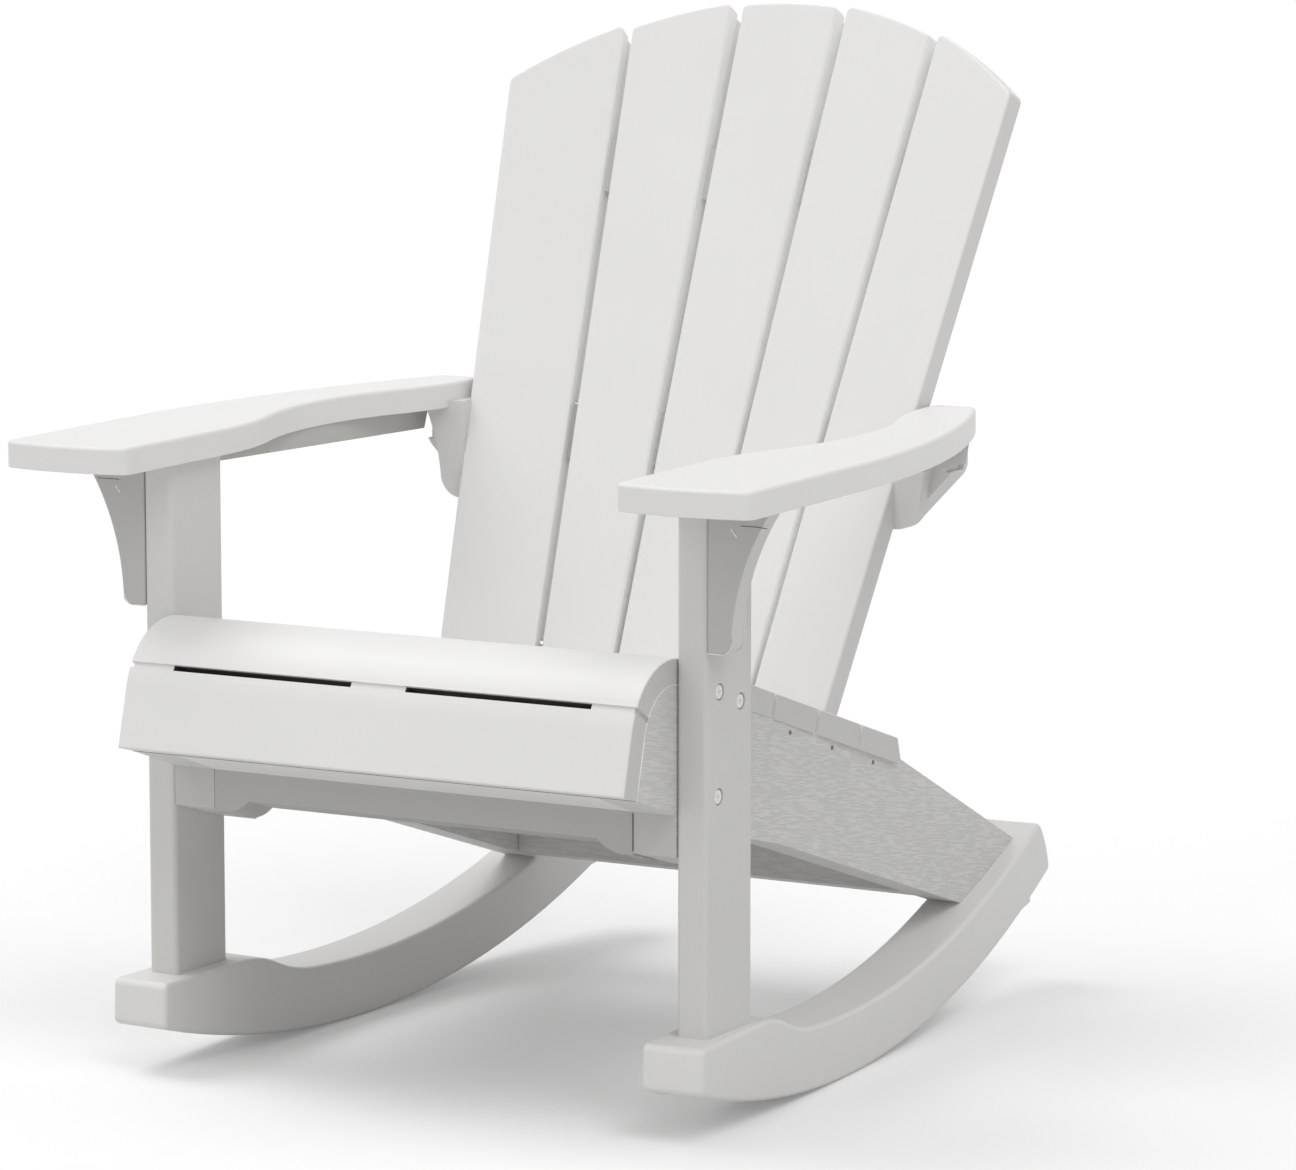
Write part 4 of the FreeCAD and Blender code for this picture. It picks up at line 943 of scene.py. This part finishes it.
class Undercarriage(Assembly):
    """The side panels, the front cross-bar and the rear stretcher.

    Attributes:
        lip_front: Where the cross-bar's body ends and its lip stands out in front.
        lip_slope: Share of Y in the normal of a face that looks forward there.
        lug_slope: Share of Y in the normal of a panel's face that looks forward or back.
        apron_foot: Where the seam under the apron runs, as (y, z).
        apron_reach: Half the length of that seam.
        lug_seam: Where the seam beside the right lug stands, as (x, y).
        lug_heights: Lower and upper end of the seam beside the lug.
        seam_radius: Radius of both seams.
    """

    lip_front = -342.3 * MM
    lip_slope = -0.3
    lug_slope = 0.7
    apron_foot = (-413.5 * MM, 319.0 * MM)
    apron_reach = 268.0 * MM
    lug_seam = (226.0 * MM, -341.7 * MM)
    lug_heights = (258.0 * MM, 292.0 * MM)
    seam_radius = 0.5 * MM

    def seams(self) -> None:
        """Lay dark cords of painted shade in the seams under the apron and beside the right lug."""
        runs = [
            [Vector((x, *self.apron_foot)) for x in (-self.apron_reach, self.apron_reach)],
            [Vector((*self.lug_seam, height)) for height in self.lug_heights],
        ]
        self.mounted(cord("undercarriage_seam_shades", runs, self.seam_radius), PAINTED_SEAM_SHADE)

    def on_lip(self, middle: Vector, normal: Vector) -> bool:
        """Whether a face is in front on the cross-bar's lip, which carries painted light."""
        return middle.y < self.lip_front and normal.y < self.lip_slope

    def on_lug(self, _middle: Vector, normal: Vector) -> bool:
        """Whether a face of a side panel looks forward or back, as its lug does, and so carries painted
        shade.
        """
        return abs(normal.y) > self.lug_slope

    def build(self) -> None:
        """Mould the grained members."""
        for side in Side:
            # The panel's forward and backward faces carry painted shade.
            self.moulding(f"side_panel_{side.value}", SIDE_GRAIN, Rounding(1.2 * MM, 3),
                          Zone(LUG_SHADE, self.on_lug))
        # The cross-bar carries painted shade under the seat, and its lip carries painted light.
        self.moulding("front_crossbar", BAR_SHADE, Rounding(1.0 * MM, 3), Zone(LIP_LIGHT, self.on_lip))
        self.moulding("rear_stretcher", CROSS_GRAIN, Rounding(1.2 * MM, 3))
        self.seams()


BACK_FRAME = Matrix.Translation((0.0, 256.656, 691.0)) @ Matrix.Rotation(math.radians(-24.6), 4, "X")
CROWN_RISE = 328.7
CROWN_RADIUS = 458.0


@dataclass(frozen=True)
class SlatShape:
    """Outline of a slat in the plane of the back, in millimetres outward and up from its middle.

    Attributes:
        number: Number of the slat, counted from the left.
        side: The side of the chair that it is on. The centre one counts as right.
        edges: Distance of its inner and outer edge from the chair's middle, at rise 0.
        fan: How far each edge leans outward for each millimetre up.
        forward: How far each edge lies in front of the plane.
        walled: Which of its edges border a gap.
    """

    number: int
    side: Side
    edges: tuple[float, float]
    fan: tuple[float, float]
    forward: tuple[float, float]
    walled: tuple[int, ...]

    @property
    def lean(self) -> float:
        """Turn of the slat's face about its length, in radians."""
        return math.atan2(self.forward[1] - self.forward[0], self.edges[1] - self.edges[0])

    def middle(self, rise: float) -> float:
        """Distance from the chair's middle to the slat's middle, at a rise."""
        return sum(self.edges) / 2 + sum(self.fan) / 2 * rise

    def head(self, edge: int) -> float:
        """Rise at which an edge meets the round top that all slats share.

        It solves (rise - centre)^2 + (foot + fan * rise)^2 = CROWN_RADIUS^2 for the rise.
        """
        foot, fan, centre = self.edges[edge], self.fan[edge], CROWN_RISE - CROWN_RADIUS
        square = 1.0 + fan**2
        half = foot * fan - centre
        rest = foot**2 + centre**2 - CROWN_RADIUS**2
        return (math.sqrt(half**2 - square * rest) - half) / square

    def face_frame(self) -> Matrix:
        """Frame of the slat's own face in the chair's frame, in millimetres."""
        sign = self.side.sign
        swing = math.atan(sum(self.fan) / 2)
        return (BACK_FRAME @ Matrix.Translation((sign * self.middle(0.0), -sum(self.forward) / 2, 0.0))
                @ Matrix.Rotation(sign * swing, 4, "Y") @ Matrix.Rotation(-sign * self.lean, 4, "Z"))

    def across(self, edge: int, rise: float, inward: float) -> float:
        """Place across the slat's face, for a rise and a distance inward of an edge."""
        place = self.edges[edge] + self.fan[edge] * rise + (inward if edge == 0 else -inward)
        return self.side.sign * (place - self.middle(rise)) / math.cos(self.lean)


OUTER = ((156.4, 261.4), (0.0786, 0.1037), (14.4, 39.2), (0,))
INNER = ((55.9, 148.1), (0.0322, 0.0739), (3.9, 12.6), (0, 1))
CENTRE = ((-46.9, 46.9), (-0.0214, 0.0214), (1.5, 1.5), (0, 1))
SLATS = (
    SlatShape(1, Side.LEFT, *OUTER),
    SlatShape(2, Side.LEFT, *INNER),
    SlatShape(3, Side.RIGHT, *CENTRE),
    SlatShape(4, Side.RIGHT, *INNER),
    SlatShape(5, Side.RIGHT, *OUTER),
)


class Back(Assembly):
    """The five slats with their deep walls, the battens behind them and their screws.

    Attributes:
        bays: Lower and upper end of each wall, between the battens, in millimetres.
        head_margin: How far the walls end below the slats' round top, in millimetres.
        wall_depths: Where a wall begins and ends behind the slat's face, in millimetres.
        wall_insets: Where its two faces lie inward of the slat's edge, in millimetres.
        edge_slope: Share of X in the normal of a face on a slat's long edge.
    """

    bays = ((-362.0, -168.0), (-109.0, 117.0), (176.0, 400.0))
    head_margin = 9.0
    wall_depths = (19.0, 33.0)
    wall_insets = (0.3, 3.3)
    edge_slope = 0.8

    def edge_zones(self, shape: SlatShape) -> tuple[Zone, ...]:
        """Zones of a slat's long edges: painted shade on an outermost slat's outer edge, and painted light
        beside a gap, where little light comes in.
        """
        def outermost(_middle: Vector, normal: Vector) -> bool:
            """Whether a face looks outward on an outermost slat."""
            return len(shape.walled) == 1 and normal.x * shape.side.sign > self.edge_slope

        def beside_gap(middle: Vector, normal: Vector) -> bool:
            """Whether a face borders a gap."""
            return abs(normal.x) > self.edge_slope and not outermost(middle, normal)

        return (Zone(SLAT_EDGE_SHADE, outermost), Zone(GAP_WALL_LIGHT, beside_gap))

    def walls(self, shape: SlatShape) -> bpy.types.Object:
        """Make the deep walls behind a slat's edges, which close the view through the gaps.

        Args:
            shape: The slat's outline.

        Returns:
            One object with all walls of the slat.
        """
        form = bmesh.new()
        frame = Matrix.Scale(MM, 4) @ shape.face_frame()
        for edge in shape.walled:
            limit = shape.head(edge) - self.head_margin
            for foot, head in self.bays:
                points = [
                    frame @ Vector((shape.across(edge, rise, inset), depth, rise))
                    for rise in (foot, min(head, limit))
                    for inset in self.wall_insets
                    for depth in self.wall_depths
                ]
                bmesh.ops.convex_hull(form, input=[form.verts.new(point) for point in points])
        return new_piece(f"back_slat_{shape.number}_walls", form)

    def build(self) -> None:
        """Mould the slats and battens, and dress the screws."""
        for shape in SLATS:
            self.moulding(f"back_slat_{shape.number}", SATIN, Rounding(0.9 * MM, 3),
                          *self.edge_zones(shape))
            self.mounted(self.walls(shape), SATIN)
        for name in ("upper_batten", "lower_batten", "arm_rail"):
            self.moulding(name, RAIL, Rounding(1.4 * MM, 3))
        self.moulding("back_screws", SCREW, Rounding(0.25 * MM, 1))


class Arms(Assembly):
    """The armrests and the ribs under them."""

    def build(self) -> None:
        """Mould the armrests and their ribs."""
        for side in Side:
            self.moulding(f"armrest_{side.value}", SATIN, Rounding(0.9 * MM, 3))
            # The ribs carry painted shade under the armrests.
            self.moulding(f"arm_rib_{side.value}", BRACKET_SHADE, Rounding(0.8 * MM, 2))


@dataclass(frozen=True)
class DistantLamp:
    """A far soft lamp.

    Attributes:
        name: The lamp's name.
        stands: Direction in which it stands, as seen from the chair.
        strength: Its strength in watts per square metre.
        spread: Its apparent width in degrees, which softens its shadows.
    """

    name: str
    stands: Triple
    strength: float
    spread: float = 34.0

    def hang(self) -> None:
        """Hang the lamp in the scene."""
        data = bpy.data.lights.new(self.name, "SUN")
        data.energy = self.strength
        data.angle = math.radians(self.spread)
        lamp = bpy.data.objects.new(self.name, data)
        lamp.rotation_euler = Vector(self.stands).to_track_quat("Z", "Y").to_euler()
        bpy.context.scene.collection.objects.link(lamp)


def plain_view(tree: NodeTree) -> Socket:
    """Share of the rays that see the plain white studio: camera, glossy and transmitted ones."""
    path = tree.nodes.new("ShaderNodeLightPath").outputs
    mirrored = math_node(tree, "MAXIMUM", path["Is Glossy Ray"], path["Is Transmission Ray"])
    return math_node(tree, "MAXIMUM", path["Is Camera Ray"], mirrored)


@dataclass
class Studio:
    """The floor, the soft lights and the photograph's camera.

    Attributes:
        camera_place: Where the camera stands.
        azimuth: How far the camera is turned from straight ahead, in degrees.
        elevation: How far it looks down, in degrees.
        lens: Focal length in millimetres.
        sensor: Width of the sensor in millimetres.
        sight: How far the camera sees.
        ambient: Strength of the even light from all round.
        lamps: The lamps that shape the chair.
        floor_tone: Linear tone of the floor where the camera sees it.
        floor_lift: Glow of the floor where the camera sees it, which lightens the shadow.
        floor_bounce: Linear tone with which the floor lights the chair.
        floor_reach: Distance from the floor's middle to its edges.
        floor_drop: How far the floor lies below the rockers, which keeps the two faces apart.
        floor_roughness: The floor's roughness.
        floor_gloss: The floor's specular level.
    """

    camera_place: Triple = (2.6662, -4.70664, 1.2243)
    azimuth: float = 29.051
    elevation: float = 8.2326
    lens: float = 156.338
    sensor: float = 36.0
    sight: float = 60.0
    ambient: float = 0.52
    lamps: tuple[DistantLamp, ...] = (
        DistantLamp("key_upper_left", (-0.47, -0.03, 0.86), 0.98),
        DistantLamp("key_upper_right", (0.5, -0.3, 0.81), 0.76),
        DistantLamp("fill_front_left", (-0.36, -0.83, 0.43), 0.28),
    )
    floor_tone: float = 0.815
    floor_lift: float = 0.168
    floor_bounce: float = 0.72
    floor_reach: float = 40.0
    floor_drop: float = 0.5 * MM
    floor_roughness: float = 0.9
    floor_gloss: float = 0.1

    def camera(self) -> None:
        """Stand the camera at the photograph's viewpoint."""
        data = bpy.data.cameras.new("photo_camera")
        data.lens = self.lens
        data.sensor_width = self.sensor
        data.sensor_fit = "HORIZONTAL"
        data.clip_end = self.sight
        stand = bpy.data.objects.new("photo_camera", data)
        stand.location = self.camera_place
        tilt = math.radians(90.0 - self.elevation)
        stand.rotation_euler = Euler((tilt, 0.0, math.radians(self.azimuth)))
        bpy.context.scene.collection.objects.link(stand)
        bpy.context.scene.camera = stand

    def lights(self) -> None:
        """Light the chair evenly from all round, with soft lamps above both sides and in front."""
        world = bpy.data.worlds.new("studio")
        world.use_nodes = True
        tree = world.node_tree
        lighting = tree.nodes["Background"]
        seen = tree.nodes.new("ShaderNodeBackground")
        for background, strength in ((lighting, self.ambient), (seen, 1.0)):
            background.inputs["Color"].default_value = grey(1.0)
            background.inputs["Strength"].default_value = strength
        mix = tree.nodes.new("ShaderNodeMixShader")
        tree.links.new(plain_view(tree), mix.inputs[0])
        tree.links.new(lighting.outputs[0], mix.inputs[1])
        tree.links.new(seen.outputs[0], mix.inputs[2])
        tree.links.new(mix.outputs[0], tree.nodes["World Output"].inputs["Surface"])
        bpy.context.scene.world = world
        for lamp in self.lamps:
            lamp.hang()

    def floor_material(self) -> bpy.types.Material:
        """Build the floor's material, which looks paler to the camera than it lights the chair."""
        made = new_material("studio_floor")
        tree = made.node_tree
        shader = tree.nodes["Principled BSDF"]
        shader.inputs["Roughness"].default_value = self.floor_roughness
        shader.inputs["Specular IOR Level"].default_value = self.floor_gloss
        shown = plain_view(tree)
        tone = colour_mix(tree, shown, grey(self.floor_bounce), grey(self.floor_tone))
        tree.links.new(tone, shader.inputs["Base Color"])
        glow = tree.nodes.new("ShaderNodeEmission")
        tree.links.new(math_node(tree, "MULTIPLY", shown, self.floor_lift), glow.inputs["Strength"])
        both = tree.nodes.new("ShaderNodeAddShader")
        tree.links.new(shader.outputs[0], both.inputs[0])
        tree.links.new(glow.outputs[0], both.inputs[1])
        tree.links.new(both.outputs[0], tree.nodes["Material Output"].inputs["Surface"])
        return made

    def floor(self) -> None:
        """Lay a plain pale floor that keeps the chair's shadow."""
        sheet = bmesh.new()
        bmesh.ops.create_grid(sheet, x_segments=1, y_segments=1, size=self.floor_reach)
        floor = new_piece("studio_floor", sheet)
        floor.location = (0.0, 0.0, -self.floor_drop)
        floor.data.materials.append(self.floor_material())

    def build(self) -> None:
        """Set up the studio."""
        self.camera()
        self.lights()
        self.floor()
        bpy.context.scene.view_settings.view_transform = "Standard"


def main() -> None:
    """Build the studio and every sub-assembly, and log the pieces made."""
    logging.basicConfig(level=logging.INFO, format="%(name)s: %(message)s")
    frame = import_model()
    Studio().build()
    groups = Groups()
    for kind in (Runners, FrontLegs, Undercarriage, Seat, Back, Arms):
        assembly = kind(frame, groups)
        assembly.build()
        assembly.report()
    bpy.context.view_layer.update()


if __name__ == "__main__":
    main()
